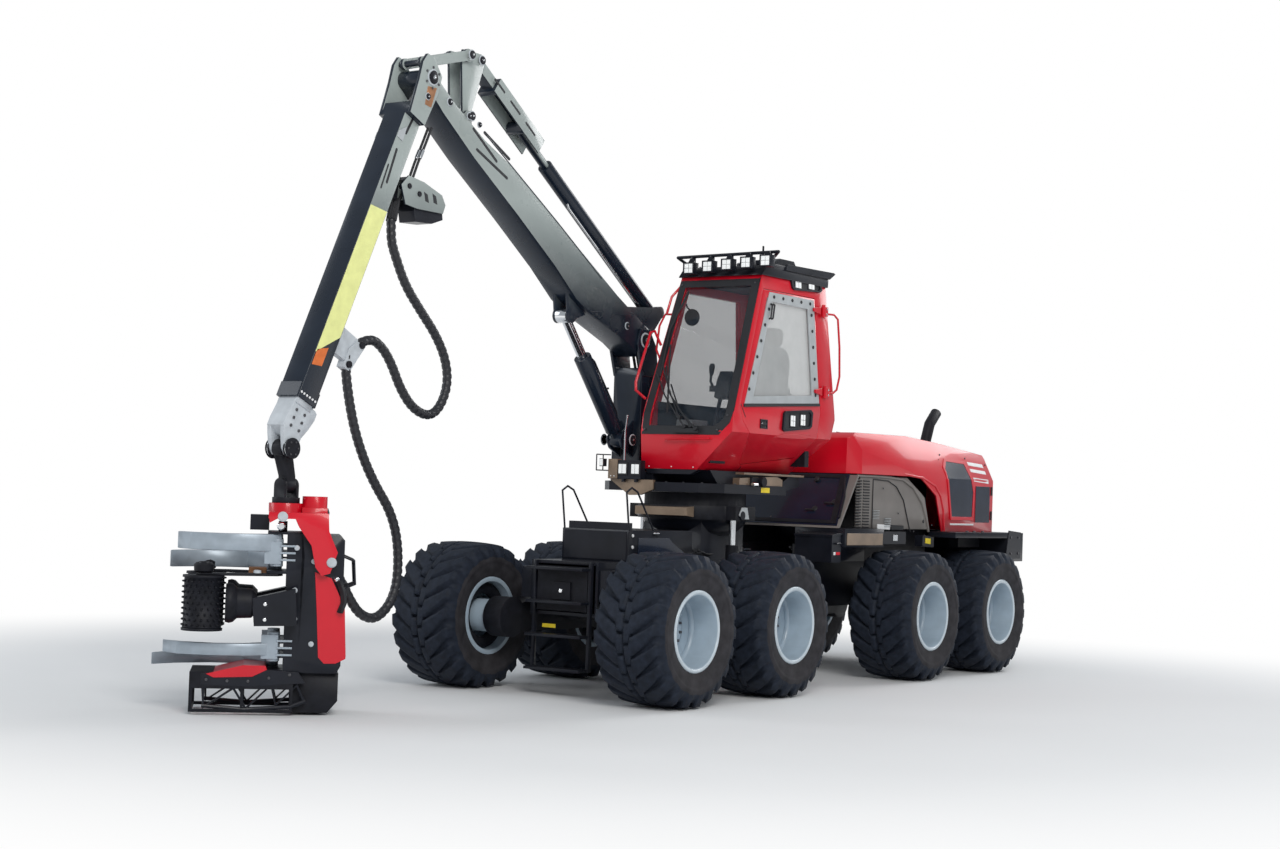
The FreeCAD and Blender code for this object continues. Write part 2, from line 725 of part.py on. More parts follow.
# ---------------------------------------------------------------- upper structure
def make_platform():
    z0, z1 = S.slew_ring_top + S.seat_gap, S.slew_ring_top + S.seat_gap + S.platform_thickness
    deck = box("platform_deck", (S.platform_rear, S.platform_front), (S.platform_right, S.platform_left), (z0, z1))
    risers = box("platform_riser", (-2200.0, -900.0), (-100.0, 460.0), (z1, S.cab_floor))
    y = S.crane_offset
    front = S.platform_front
    lamp = box("lamp_box", (front - 115, front), (y - 10, y + 480), (z1, z1 + 230))
    skid = plate("lamp_skid", [(front - 150, z0), (front - 110, z0 - 30), (front - 60, z0 - 30),
                               (front + 25, z1), (front + 25, z1 + 20), (front - 20, z1 + 20)],
                 (y + 60, y + 620))
    subpart("slew_platform", fuse("slew_platform_body", deck, risers, lamp, skid))
    front = S.post_front
    column = box("post_column", (-1230.0, front), (y - 170, y + 170), (z1, 3080.0))
    cheeks = []
    for k, side in enumerate((1, -1)):
        inner = S.boom_half_width + S.seat_gap
        limits = (y + inner, y + inner + 30) if side > 0 else (y - inner - 30, y - inner)
        cheeks.append(plate(f"post_cheek_{k}", [(-1230.0, 3000.0), (front, 3000.0), (-860.0, 3300.0),
                                                (-900.0, 3460.0), (-1060.0, 3460.0), (-1180.0, 3300.0)], limits))
        inner = 60 + S.seat_gap
        limits = (y + inner, y + inner + 30) if side > 0 else (y - inner - 30, y - inner)
        cheeks.append(plate(f"lift_ear_{k}", [(front, 2200.0), (-790.0, 2280.0), (-740.0, 2360.0),
                                              (-790.0, 2440.0), (front, 2560.0)], limits))
    subpart("crane_post", fuse("crane_post_body", column, *cheeks))


def cab_solid(name, inset):
    """Cab volume: side outline through the full width, less the lower side bevels."""
    low = S.cab_floor + inset
    top = S.cab_roof_top - S.roof_thickness
    k = inset
    side = [(-700.0 - k, low), (-670.0 - k, 2450.0), (-700.0 - k, 2620.0), (-1235.0 - k, top),
            (-2470.0 + k, top), (-2620.0 + k, 2650.0), (-2400.0 + k, low)]
    block = plate(name + "_side", side, (S.cab_right + k, S.cab_left - k))
    across = [(S.cab_right + k, low), (S.cab_left - 400 - k * 0.4, low), (S.cab_left - k, 2450.0),
              (S.cab_left - k, 2700.0), (S.cab_left - 70 - k, top), (S.cab_right + 40 + k, top),
              (S.cab_right + k, 2700.0)]
    frame = plate(name + "_across", across, (-2700.0, -600.0), "YZ")
    return common(name, block, frame)


def inset_outline(outline, distance):
    """Convex outline moved inwards by a distance, as plain numbers."""
    points = [Vector(float(first), float(second), 0) for first, second in outline]
    centre = sum(points, Vector()) * (1.0 / len(points))
    lines = []
    for here, there in zip(points, points[1:] + points[:1]):
        along = (there - here).normalize()
        normal = Vector(-along.y, along.x, 0)
        if normal.dot(centre - here) < 0:
            normal = -normal
        lines.append((here + normal * float(distance), along))
    moved = []
    for (first, first_along), (second, second_along) in zip(lines[-1:] + lines[:-1], lines):
        cross = first_along.x * second_along.y - first_along.y * second_along.x
        gap = second - first
        step = (gap.x * second_along.y - gap.y * second_along.x) / cross
        point = first + first_along * step
        moved.append((point.x, point.y))
    return moved


def pane(name, outline, limits, plane="XZ"):
    """Glass pane that fills a window in the cab wall, a seat gap smaller all round."""
    window = plate(name + "_window", inset_outline(outline, S.seat_gap), limits, plane)
    outer = cab_solid(name + "_outer", S.glass_recess)
    inner = cab_solid(name + "_inner", S.glass_recess + S.glass_thickness)
    return common(name, window, cut(name + "_layer", outer, inner))


RIGHT_WINDOW = [(-900.0, 2700.0), (-1290.0, 3840.0), (-2250.0, 3840.0), (-2380.0, 2700.0)]
DOOR_OPENING = [(-1330.0, 2150.0), (-860.0, 2560.0), (-800.0, 2700.0), (-1260.0, 3860.0),
                (-2250.0, 3860.0), (-2330.0, 2700.0), (-2230.0, 2250.0)]
DOOR_WINDOW = [(-960.0, 2760.0), (-1330.0, 3780.0), (-2170.0, 3780.0), (-2240.0, 2840.0)]


def make_cab():
    outer = cab_solid("cab_outer", 0.0)
    inner = cab_solid("cab_inner", S.cab_wall)
    top = S.cab_roof_top - S.roof_thickness
    opening_top = box("cab_top_clear", (-2410.0, -1320.0), (S.cab_right + 100, S.cab_left - 130),
                      (top - 80, top + 10))
    door_hole = plate("door_hole", DOOR_OPENING, (S.cab_left - 330, S.cab_left + 50))
    right_limits = (S.cab_right - 50, S.cab_right + 120)
    right_hole = plate("right_hole", RIGHT_WINDOW, right_limits)
    front_window = [(S.cab_right + 90, 2480.0), (S.cab_left - 90, 2480.0),
                    (S.cab_left - 150, 3900.0), (S.cab_right + 110, 3900.0)]
    front_limits = (-1330.0, -600.0)
    front_hole = plate("front_hole", front_window, front_limits, "YZ")
    rear_window = [(S.cab_right + 110, 2900.0), (S.cab_left - 150, 2900.0),
                   (S.cab_left - 190, 3860.0), (S.cab_right + 130, 3860.0)]
    rear_limits = (-2700.0, -2400.0)
    rear_hole = plate("rear_hole", rear_window, rear_limits, "YZ")
    subpart("cab_shell", cut("cab_shell_body", outer, inner, opening_top, door_hole, right_hole, front_hole,
                             rear_hole))
    subpart("cab_roof", roof_solid("roof_panel"))
    subpart("cab_glass", group("cab_glass_panes", pane("glass_front", front_window, front_limits, "YZ"),
                               pane("glass_right", RIGHT_WINDOW, right_limits),
                               pane("glass_rear", rear_window, rear_limits, "YZ")))
    seat = [box("seat_cushion", (-2050.0, -1550.0), (20.0, 540.0), (2560.0, 2700.0)),
            box("seat_back", (-2250.0, -2080.0), (40.0, 520.0), (2680.0, 3400.0)),
            box("seat_base", (-2080.0, -1650.0), (60.0, 350.0), (S.cab_floor + S.cab_wall, 2560.0)),
            box("seat_link", (-2110.0, -2050.0), (100.0, 460.0), (2600.0, 2720.0))]
    subpart("operator_seat", fuse("operator_seat_body", *seat))
    make_light_bar()


def roof_solid(name):
    top = S.cab_roof_top - S.roof_thickness
    return plate(name, [(-1200.0, top), (-1290.0, S.cab_roof_top - 30), (-1500.0, S.cab_roof_top),
                        (-2430.0, S.cab_roof_top), (-2500.0, S.cab_roof_top - 50), (-2490.0, top)],
                 (S.cab_right + 20, S.cab_left - 50))


def make_light_bar():
    """Tube hoop in front of the roof, with five lamps hung under it."""
    high, x = S.cab_roof_top + 70, -1215.0
    right, left = S.cab_right, S.cab_left + 120
    path = [(-1360.0, right + 60, S.cab_roof_top - 10), (x, right, high), (x, left, high + 15),
            (-1360.0, S.cab_left - 80, S.cab_roof_top - 10)]
    pieces = [rod(f"light_hoop_{k}", 16.0, path[k], path[k + 1]) for k in range(3)]
    pieces += [ball(f"light_hoop_bend_{k}", 16.0, path[k]) for k in (1, 2)]
    for k in range(5):
        y = right + 194 + S.lamp_pitch * k
        low = high - 180 + 11 * k
        pieces.append(box(f"roof_lamp_{k}", (x + 15, x + 95), (y - 62, y + 62), (low, low + 115)))
        pieces.append(box(f"roof_lamp_hanger_{k}", (x - 10, x + 45), (y - 12, y + 12), (low + 100, high)))
    subpart("light_bar", cut("light_bar_body", fuse("light_bar_set", *pieces), roof_solid("roof_trim")))


def make_door():
    slab = plate("door_slab", inset_outline(DOOR_OPENING, S.door_gap), (S.cab_left - 330, S.cab_left + 50))
    outer = cab_solid("door_outer", 0.0)
    inner = cab_solid("door_inner", S.cab_wall)
    panel = common("door_panel", slab, cut("door_wall", outer, inner))
    window_limits = (S.cab_left - 330, S.cab_left + 50)
    window = plate("door_window", DOOR_WINDOW, window_limits)
    subpart("cab_door", cut("cab_door_body", panel, window))
    subpart("door_glass", pane("door_pane", DOOR_WINDOW, window_limits))


# ---------------------------------------------------------------- crane
def hollow_plate(name, outline, half, wall, inner_outline):
    """Welded box section from a side outline: outer block less an inner one."""
    outer = plate(name + "_outer", outline, (-half, half))
    inner = plate(name + "_inner", inner_outline, (-half + wall, half - wall))
    return cut(name + "_section", outer, inner)


def ears(name, centre_x, centre_z, inner, thickness, radius, foot_z, foot_half):
    """Two lugs that stand on a beam and carry a pin boss."""
    items = []
    for k, side in enumerate((1, -1)):
        y = pair(side, inner, inner + thickness)
        lug = cylinder(f"{name}_boss_{k}", radius, (centre_x, y[0], centre_z), "Y", thickness)
        web = plate(f"{name}_web_{k}", [(centre_x - foot_half, foot_z), (centre_x + foot_half, foot_z),
                                        (centre_x + radius * 0.9, centre_z), (centre_x - radius * 0.9, centre_z)]
                    if float(foot_z) < float(centre_z) else
                    [(centre_x - radius * 0.9, centre_z), (centre_x + radius * 0.9, centre_z),
                     (centre_x + foot_half, foot_z), (centre_x - foot_half, foot_z)], y)
        items += [lug, web]
    return items


def turned_point(origin, angle, u, v):
    """Machine-frame X and Z of a point given in a frame turned up by an angle in degrees."""
    turn = math.radians(float(angle))
    x = float(origin[0]) + float(u) * math.cos(turn) - float(v) * math.sin(turn)
    z = float(origin[1]) + float(u) * math.sin(turn) + float(v) * math.cos(turn)
    return x, z


def boom_point(u, v):
    return turned_point((S.boom_foot_x, S.boom_foot_z), S.boom_angle, u, v)


def stick_point(u, v):
    return turned_point(boom_point(S.boom_length, 0.0), S.stick_angle, u, v)


def crane_pins():
    """Machine-frame X and Z of every pin of the stick's linkage."""
    rocker_foot = boom_point(S.boom_length - S.rocker_back, S.rocker_rise)
    return {"bar_foot": boom_point(S.bar_foot_u, S.bar_foot_v),
            "rocker_foot": rocker_foot,
            "bar_pin": (rocker_foot[0] + float(S.bar_pin_x), rocker_foot[1] + float(S.bar_pin_z)),
            "coupler_pin": (rocker_foot[0] + float(S.coupler_pin_x), rocker_foot[1] + float(S.coupler_pin_z)),
            "stick_pin": stick_point(S.stick_pin_u, S.stick_pin_v)}


def span(start, end):
    """Length and upward angle of the line between two points of the XZ plane."""
    dx, dz = end[0] - start[0], end[1] - start[1]
    return math.hypot(dx, dz), math.degrees(math.atan2(dz, dx))


def make_boom():
    half = S.boom_half_width
    length = S.boom_length
    w = S.boom_wall
    outline = [(-60.0, -150.0), (200.0, -168.0), (900.0, -300.0), (1120.0, -312.0), (1550.0, -256.0),
               (length - 1630, -214.0), (length - 840, -182.0), (length - 300, -130.0), (length, -75.0),
               (length, 70.0), (length - 390, 38.0), (length - 870, 40.0), (length - 1300, 95.0),
               (600.0, 110.0), (100.0, 140.0)]
    inner = [(250.0, -130.0), (900.0, -300.0 + w), (1120.0, -312.0 + w), (1550.0, -256.0 + w), (length - 1630, -214.0 + w),
             (length - 840, -182.0 + w), (length - 390, -138.0 + w), (length - 390, 38.0 - w),
             (length - 880, 40.0 - w), (length - 1310, 95.0 - w), (600.0, 110.0 - w), (250.0, 130.0 - w)]
    section = hollow_plate("boom", outline, half, w, inner)
    foot = cylinder("boom_foot", 150.0, (0.0, -half, 0.0), "Y", half * 2)
    tip = cylinder("boom_tip", S.boom_tip_radius, (length, -half, 0.0), "Y", half * 2)
    u, v = S.bar_foot_u, S.bar_foot_v
    bar_ears = []
    for k, side in enumerate((1, -1)):
        y = pair(side, 80 + S.seat_gap, 110 + S.seat_gap)
        bar_ears.append(plate(f"bar_foot_web_{k}", [(-120.0, 60.0), (420.0, 110.0), (u + 55, v + 20),
                                                    (u - 55, v + 20)], y))
        bar_ears.append(cylinder(f"bar_foot_boss_{k}", 60.0, (u, y[0], v), "Y", 30.0))
    rocker_ears = ears("rocker_foot", length - S.rocker_back, S.rocker_rise, 85 + S.seat_gap, 26.0, 56.0, 20.0,
                       120.0)
    lift_ears = ears("lift_top", S.lift_top_u, S.lift_top_v, 60 + S.seat_gap, 30.0, 70.0, -300.0, 170.0)
    body = fuse("boom_body", section, foot, tip, *bar_ears, *rocker_ears, *lift_ears)
    subpart("boom", body, tilted(S.boom_foot_x, S.crane_offset, S.boom_foot_z, S.boom_angle))


def make_lift_cylinder():
    foot_x, foot_z = float(S.lift_foot_x), float(S.lift_foot_z)
    length, angle = span((foot_x, foot_z), boom_point(S.lift_top_u, S.lift_top_v))
    eye = cylinder("lift_eye", 75.0, (0.0, -60.0, 0.0), "Y", 120.0)
    neck = cylinder("lift_neck", 55.0, (40.0, 0.0, 0.0), "X", 100.0)
    shell = cylinder("lift_shell", S.lift_barrel_radius, (130.0, 0.0, 0.0), "X", S.lift_barrel_length - 130)
    bore = cylinder("lift_bore", S.lift_rod_radius + S.seat_gap, (200.0, 0.0, 0.0), "X", S.lift_barrel_length)
    body = cut("lift_barrel_body", fuse("lift_barrel_outer", shell, neck, eye), bore)
    place = tilted(foot_x, S.crane_offset, foot_z, angle)
    subpart("lift_cylinder_barrel", body, place)
    start = S.lift_barrel_length - 380
    shaft = cylinder("lift_shaft", S.lift_rod_radius, (start, 0.0, 0.0), "X", length - start)
    head = cylinder("lift_head", 70.0, (length, -60.0, 0.0), "Y", 120.0)
    subpart("lift_cylinder_rod", fuse("lift_rod_body", shaft, head), place)


def make_parallel_bar():
    """Cylinder that runs above the boom to the rocker, with a forked rod."""
    pins = crane_pins()
    length, angle = span(pins["bar_foot"], pins["bar_pin"])
    place = tilted(pins["bar_foot"][0], S.crane_offset, pins["bar_foot"][1], angle)
    eye = cylinder("bar_eye", 60.0, (0.0, -80.0, 0.0), "Y", 160.0)
    low = -S.bar_drop
    barrel = cylinder("bar_barrel", S.bar_barrel_radius, (40.0, 0.0, low), "X", S.bar_barrel_length - 40)
    bore = cylinder("bar_bore", S.bar_rod_radius + S.seat_gap, (160.0, 0.0, low), "X", S.bar_barrel_length)
    subpart("bar_barrel", cut("bar_barrel_body", fuse("bar_barrel_outer", eye, barrel), bore), place)
    pivot_x = length - 820
    shaft = cylinder("bar_shaft", S.bar_rod_radius, (S.bar_barrel_length - 1300, 0.0, low), "X",
                     pivot_x + 1300 - S.bar_barrel_length)
    pivot = cylinder("bar_pivot", 62.0, (pivot_x, -100.0, low), "Y", 200.0)
    cheeks = [box(f"bar_cheek_{k}", (length - 1100, length - 290), pair(side, 86.0, 100.0), (low - 60, low + 95))
              for k, side in enumerate((1, -1))]
    web = box("bar_web", (length - 1100, length - 290), (-100.0, 100.0), (low + 80, low + 95))
    end = box("bar_end", (length - 340, length - 290), (-100.0, 100.0), (low - 60, low + 95))
    nose = box("bar_nose", (length - 340, length), (-60 + S.seat_gap, 60 - S.seat_gap), (-50.0, 50.0))
    tip = cylinder("bar_tip", 55.0, (length, -60 + S.seat_gap, 0.0), "Y", 120 - S.seat_gap * 2)
    subpart("bar_fork", fuse("bar_fork_body", shaft, pivot, *cheeks, web, end, nose, tip), place)


def make_rocker():
    pins = crane_pins()
    foot_x, foot_z = pins["rocker_foot"]
    place = Placement(Vector(foot_x, float(S.crane_offset), foot_z), Rotation())
    bar_x, bar_z = S.bar_pin_x, S.bar_pin_z
    pin_x, pin_z = S.coupler_pin_x, S.coupler_pin_z
    plates = []
    for k, side in enumerate((1, -1)):
        y = pair(side, 60.0, 85.0)
        plates.append(plate(f"rocker_plate_{k}", [(-50.0, 0.0), (50.0, 0.0), (pin_x + 55, pin_z - 20),
                                                  (pin_x + 40, pin_z + 50), (bar_x - 10, bar_z + 58),
                                                  (bar_x - 60, bar_z + 15), (bar_x - 45, bar_z - 50)], y))
        plates.append(cylinder(f"rocker_boss_{k}", 50.0, (0.0, y[0], 0.0), "Y", 25.0))
    cross = cylinder("rocker_cross", 45.0, (0.0, -60.0, 0.0), "Y", 120.0)
    brace = cylinder("rocker_brace", 30.0, (pin_x, -60.0, pin_z), "Y", 120.0)
    subpart("rocker", fuse("rocker_body", *plates, cross, brace), place)
    reach, angle = span(pins["coupler_pin"], pins["stick_pin"])
    arms = []
    for k, side in enumerate((1, -1)):
        y = pair(side, 85 + S.seat_gap, 115.0)
        thickness = 30 - S.seat_gap
        arms.append(box(f"coupler_arm_{k}", (0.0, reach), y, (-45.0, 45.0)))
        arms.append(cylinder(f"coupler_eye_{k}", 58.0, (0.0, y[0], 0.0), "Y", thickness))
        arms.append(cylinder(f"coupler_end_{k}", 50.0, (reach, y[0], 0.0), "Y", thickness))
    link = cylinder("coupler_link", 28.0, (reach, -S.boom_half_width, 0.0), "Y", S.boom_half_width * 2)
    subpart("coupler", fuse("coupler_body", *arms, link),
            tilted(pins["coupler_pin"][0], S.crane_offset, pins["coupler_pin"][1], angle))


def stick_place():
    tip_x, tip_z = boom_point(S.boom_length, 0.0)
    return tilted(tip_x, S.crane_offset, tip_z, S.stick_angle)


def make_stick():
    half, d = S.stick_half_width, S.stick_depth / 2
    inner = half - S.stick_wall
    length = S.stick_length
    tube = box("stick_tube", (300.0, length), (-half, half), (-d, d))
    bore = box("stick_bore", (330.0, length + 10), (-inner, inner), (-d + S.stick_wall, d - S.stick_wall))
    pin_u, pin_v = S.stick_pin_u, S.stick_pin_v
    cheeks = []
    for k, side in enumerate((1, -1)):
        y = pair(side, S.boom_half_width + S.seat_gap, S.boom_half_width + S.seat_gap + 30)
        cheeks.append(plate(f"stick_cheek_{k}", [(-80.0, -100.0), (90.0, -125.0), (420.0, -d), (420.0, d),
                                                 (110.0, 140.0), (pin_u + 50, pin_v + 70),
                                                 (pin_u - 50, pin_v + 50), (pin_u - 65, pin_v - 40)], y))
        fill = pair(side, half, S.boom_half_width + S.seat_gap)
        cheeks.append(box(f"stick_fill_{k}", (300.0, 420.0), fill, (-d, d)))
    clip = plate("stick_hose_clip", [(850.0, -d), (1080.0, -d), (1040.0, -d - 200), (920.0, -d - 240)],
                 (-30.0, 30.0))
    subpart("stick", fuse("stick_body", cut("stick_section", tube, bore), *cheeks, clip), stick_place())


def make_extension():
    """Telescopic tube with its cast nose, and the rail behind the stick that leads the hoses."""
    slim = S.stick_half_width - S.stick_wall - S.seat_gap
    deep = S.stick_depth / 2 - S.stick_wall - S.seat_gap
    base = S.stick_length + S.running_gap
    tip = S.tip_reach
    tube = box("extension_tube", (1500.0, base + 40), (-slim, slim), (-deep, deep))
    bore = box("extension_bore", (1490.0, base - 20), (-slim + 10, slim - 10), (-deep + 10, deep - 10))
    nose = plate("extension_nose", [(base, -150.0), (base, 95.0), (tip - 200, 120.0), (tip - 130, 120.0),
                                    (tip - 95, 40.0), (tip - 95, -90.0), (tip - 125, -110.0),
                                    (tip - 220, -150.0), (tip - 315, -178.0), (tip - 375, -178.0)],
                 (-S.nose_half_width, S.nose_half_width))
    lugs = []
    for k, side in enumerate((1, -1)):
        y = pair(side, 50 + S.seat_gap, S.nose_half_width)
        lugs.append(plate(f"tip_lug_{k}", [(tip - 120, -110.0), (tip - 140, 120.0), (tip - 75, 85.0),
                                           (tip + 30, 20.0), (tip + 62, -30.0), (tip + 45, -80.0),
                                           (tip, -112.0), (tip - 60, -105.0)], y))
    rail = box("hose_rail", (base - 900, base + 60), (-35.0, 35.0), (-175.0, -130.0))
    clip = plate("rail_hose_clip", [(base - 800, -165.0), (base - 560, -165.0), (base - 560, -340.0),
                                    (base - 640, -400.0), (base - 790, -380.0)], (-30.0, 30.0))
    subpart("extension", fuse("extension_body", cut("extension_section", tube, bore), nose, *lugs, rail, clip),
            stick_place())


def make_link():
    """Swing link under the stick's tip and the crosshead that carries the rotator."""
    x, z = stick_point(S.tip_reach, -S.tip_pin_back)
    place = Placement(Vector(x, float(S.crane_offset), z), Rotation())
    back, drop = -S.link_back, -S.link_drop
    waist = drop + 75
    disc = cylinder("link_disc", 75.0, (0.0, -50.0, 0.0), "Y", 100.0)
    stem = plate("link_stem", [(back - 45, drop), (back + 45, drop), (back + 45, waist), (60.0, -20.0),
                               (-60.0, -20.0), (back - 45, waist)], (-50 + S.seat_gap, 50 - S.seat_gap))
    low = cylinder("link_low", 60.0, (back - 50 + S.seat_gap, 0.0, drop), "X", 100 - S.seat_gap * 2)
    subpart("tip_link", fuse("tip_link_body", disc, stem, low), place)
    cross = Placement(Vector(x - float(S.link_back), float(S.crane_offset), z - float(S.link_drop)), Rotation())
    foot = -S.rotator_drop + S.seat_gap
    cheeks = []
    for k, span_x in enumerate(((50.0, 80.0), (-80.0, -50.0))):
        cheeks.append(box(f"cross_cheek_{k}", span_x, (-60.0, 60.0), (foot + 20, 0.0)))
        cheeks.append(cylinder(f"cross_boss_{k}", 60.0, (span_x[0], 0.0, 0.0), "X", 30.0))
    base = cylinder("cross_base", 110.0, (0.0, 0.0, foot), "Z", 45.0)
    subpart("crosshead", fuse("crosshead_body", *cheeks, base), cross)


# ---------------------------------------------------------------- felling head
# The head's own frame has its origin under the rotator, +X towards the tree and +Z up.
def head_place():
    x, z = stick_point(S.tip_reach, -S.tip_pin_back)
    below = float(S.link_drop + S.rotator_drop + S.rotator_height)
    return Placement(Vector(x - float(S.link_back), float(S.crane_offset), z - below),
                     Rotation(Vector(0, 0, 1), float(S.head_turn)))


SHELF_TOPS = (-155.0, -310.0, -465.0, -1010.0, -1125.0, -1240.0)
SHELF_THICKNESS = 20.0
KNIFE_BANDS = {"upper": (1, 2), "lower": (4, 5)}
KNIFE_REACH = {"upper": (S.upper_knife_reach, S.upper_knife_reach + 60),
               "lower": (S.lower_knife_reach, S.lower_knife_reach + 90)}


def make_bracket(place):
    """Rotator motor with the turning bracket whose two arms carry the head."""
    w = S.head_half_width
    motor = cylinder("rotator_motor", S.rotator_radius, (0.0, 0.0, 0.0), "Z", S.rotator_height)
    top = box("bracket_top", (-330.0, 130.0), (-w - 70, w + 70), (-50.0, 0.0))
    foot = box("swivel_foot", (-330.0, -130.0), (-100.0, 100.0), (0.0, 40.0))
    swivel = cylinder("swivel_drum", 100.0, (-230.0, 0.0, 35.0), "Z", 95.0)
    arms = []
    for k, side in enumerate((1, -1)):
        y = pair(side, w + 40, w + 70)
        arms.append(plate(f"bracket_arm_{k}", [(-335.0, 0.0), (-345.0, -140.0),
                                               (S.tilt_x - 105, S.tilt_z + 100), (S.tilt_x - 50, S.tilt_z - 65),
                                               (S.tilt_x + 15, S.tilt_z - 85), (S.tilt_x + 65, S.tilt_z - 20),
                                               (-210.0, -255.0), (-110.0, -115.0), (-80.0, -50.0), (60.0, -50.0),
                                               (120.0, -85.0), (130.0, 0.0)], y))
    subpart("rotator_bracket", fuse("rotator_bracket_body", motor, top, foot, swivel, *arms), place)


def make_head_frame(place):
    w = S.head_half_width
    floor = SHELF_TOPS[-1] - SHELF_THICKNESS
    back = plate("head_back", [(-440.0, -170.0), (-100.0, -170.0), (-100.0, floor), (-440.0, floor),
                               (-473.0, floor + 60), (-473.0, -210.0)], (-w, w))
    hollow = box("head_hollow", (-445.0, -90.0), (-w + 30, w - 30), (floor + 20, -195.0))
    sides = [box(f"head_side_{k}", (-260.0, S.knife_x - 85), pair(side, w - 30, w), (floor, -155.0))
             for k, side in enumerate((1, -1))]
    bosses = [cylinder(f"tilt_boss_{k}", 60.0, (S.tilt_x, pair(side, w, w + 40 - S.seat_gap)[0], S.tilt_z), "Y",
                       40 - S.seat_gap) for k, side in enumerate((1, -1))]
    shelves = [box(f"head_shelf_{k}", (-260.0, S.knife_x + 70), (-w, w), (z - SHELF_THICKNESS, z))
               for k, z in enumerate(SHELF_TOPS)]
    spine = box("head_spine", (-70.0, -30.0), (-90.0, 90.0), (floor, -155.0))
    topping = box("topping_block", (-20.0, 50.0), (-60.0, 60.0), (-165.0, -75.0))
    subpart("head_frame", fuse("head_frame_body", cut("head_shell", back, hollow), *sides, *bosses, *shelves,
                               spine, topping), place)


def make_saw_box(place):
    """Saw housing: red cover, rim, open frame under it and the closed body behind."""
    half = S.head_half_width + 20
    top = SHELF_TOPS[-1] - SHELF_THICKNESS
    rim = top - 130
    low = top - S.saw_frame_depth
    outer = box("saw_outer", (-110.0, 690.0), (-half, half), (rim, top))
    inner = box("saw_inner", (-95.0, 700.0), (-half + 20, half - 20), (rim - 10, top - 20))
    rear = plate("saw_rear", [(-100.0, top), (-460.0, top), (-460.0, top - 220), (-380.0, low), (-100.0, low)],
                 (-half + 60, half - 60))
    bars = []
    for k, side in enumerate((1, -1)):
        y = pair(side, half - 25, half)
        bars.append(box(f"saw_rail_{k}", (-110.0, 690.0), y, (low, low + 25)))
        for j, x in enumerate((-110.0, 270.0, 665.0)):
            bars.append(box(f"saw_leg_{k}_{j}", (x, x + 25), y, (low, rim + 10)))
    for k, x in enumerate((-110.0, 665.0)):
        bars.append(box(f"saw_cross_{k}", (x, x + 25), (-half, half), (low, low + 25)))
    subpart("saw_box", fuse("saw_box_body", cut("saw_hood", outer, inner), rear, *bars), place)


def make_knives(place):
    pivot_x, pivot_y = S.knife_x, S.head_half_width - 90
    for level, shelves_below in KNIFE_BANDS.items():
        for (word, side), below, reach in zip(SIDES.items(), shelves_below, KNIFE_REACH[level]):
            z0, z1 = SHELF_TOPS[below], SHELF_TOPS[below - 1] - SHELF_THICKNESS
            outline = [(pivot_x - 50, pivot_y - 40), (pivot_x + 60, pivot_y - 50), (290.0, pivot_y + 105),
                       (reach * 0.55, pivot_y + 135), (reach * 0.82, pivot_y + 35), (reach, pivot_y - 110),
                       (reach * 0.87, pivot_y + 90), (reach * 0.6, pivot_y + 190), (270.0, pivot_y + 185),
                       (pivot_x - 40, pivot_y + 50)]
            points = [(x, side * y) for x, y in outline]
            knife = plate(f"knife_{level}_{word}_blade", points, (z0 + S.seat_gap, z1 - S.seat_gap), "XY")
            subpart(f"knife_{level}_{word}", knife, place)


def make_rollers(place):
    """Feed rollers, each hung under an arm that is pivoted beneath the third shelf."""
    ceiling = SHELF_TOPS[2] - SHELF_THICKNESS - S.seat_gap
    for word, side in SIDES.items():
        x, y = S.knife_x, side * (S.head_half_width - 60)
        hub_x, hub_y = S.roller_x, side * S.roller_y
        arm = plate(f"roller_arm_{word}_plate", [(x - 60, y - side * 50), (x + 80, y - side * 60),
                                                 (hub_x - 40, hub_y - side * 50), (hub_x + 60, hub_y),
                                                 (hub_x + 20, hub_y + side * 60), (hub_x - 180, hub_y + side * 70),
                                                 (x - 20, y + side * 60)], (ceiling - 20, ceiling), "XY")
        subpart(f"roller_arm_{word}", arm, place)
        top = ceiling - 20 - S.seat_gap
        drum = cylinder(f"roller_{word}_drum", S.roller_radius, (hub_x, hub_y, top - S.roller_length), "Z",
                        S.roller_length)
        subpart(f"feed_roller_{word}", drum, place)


def make_head():
    place = head_place()
    make_bracket(place)
    make_head_frame(place)
    make_saw_box(place)
    make_knives(place)
    make_rollers(place)


# ---------------------------------------------------------------- build, check, write
def write_subparts():
    doc.recompute()
    for item in doc.Objects:
        bad = {"Invalid", "Error"} & set(item.State)
        if bad:
            raise RuntimeError(f"{item.Name} {item.Label}: {item.State}")
    shapes = {}
    for node, item in SUBPARTS.items():
        shape = item.Shape
        if shape.isNull() or not shape.isValid() or shape.Volume <= 0:
            raise RuntimeError(f"{node}: null or invalid shape")
        shapes[node] = shape
    limits = FreeCAD.BoundBox()
    for shape in shapes.values():
        limits.add(shape.optimalBoundingBox(False))
    shift = Vector(-limits.Center.x, -limits.Center.y, -limits.ZMin)
    os.makedirs("parts", exist_ok=True)
    for node, shape in shapes.items():
        moved = shape.copy()
        moved.translate(shift)
        moved.exportStep(f"parts/{node}.step")
    return shift, shapes


make_wheels()
make_bogies()
make_front_frame()
make_front_box()
make_slew_base()
make_rear_frame()
make_body_panels()
make_hood()
make_platform()
make_cab()
make_door()
make_boom()
make_lift_cylinder()
make_parallel_bar()
make_rocker()
make_stick()
make_extension()
make_link()
make_head()
SHIFT, SHAPES = write_subparts()
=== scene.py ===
"""Looks of the eight-wheel forestry harvester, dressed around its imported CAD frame.

Lengths are metres. Shapes are written in the machine frame (X forward, Y to the machine's left, Z up,
X = 0 midway between the two front axles) and moved by HOME into the row frame.
"""
import math
import random

import bmesh
import bpy
from mathutils import Matrix, Vector


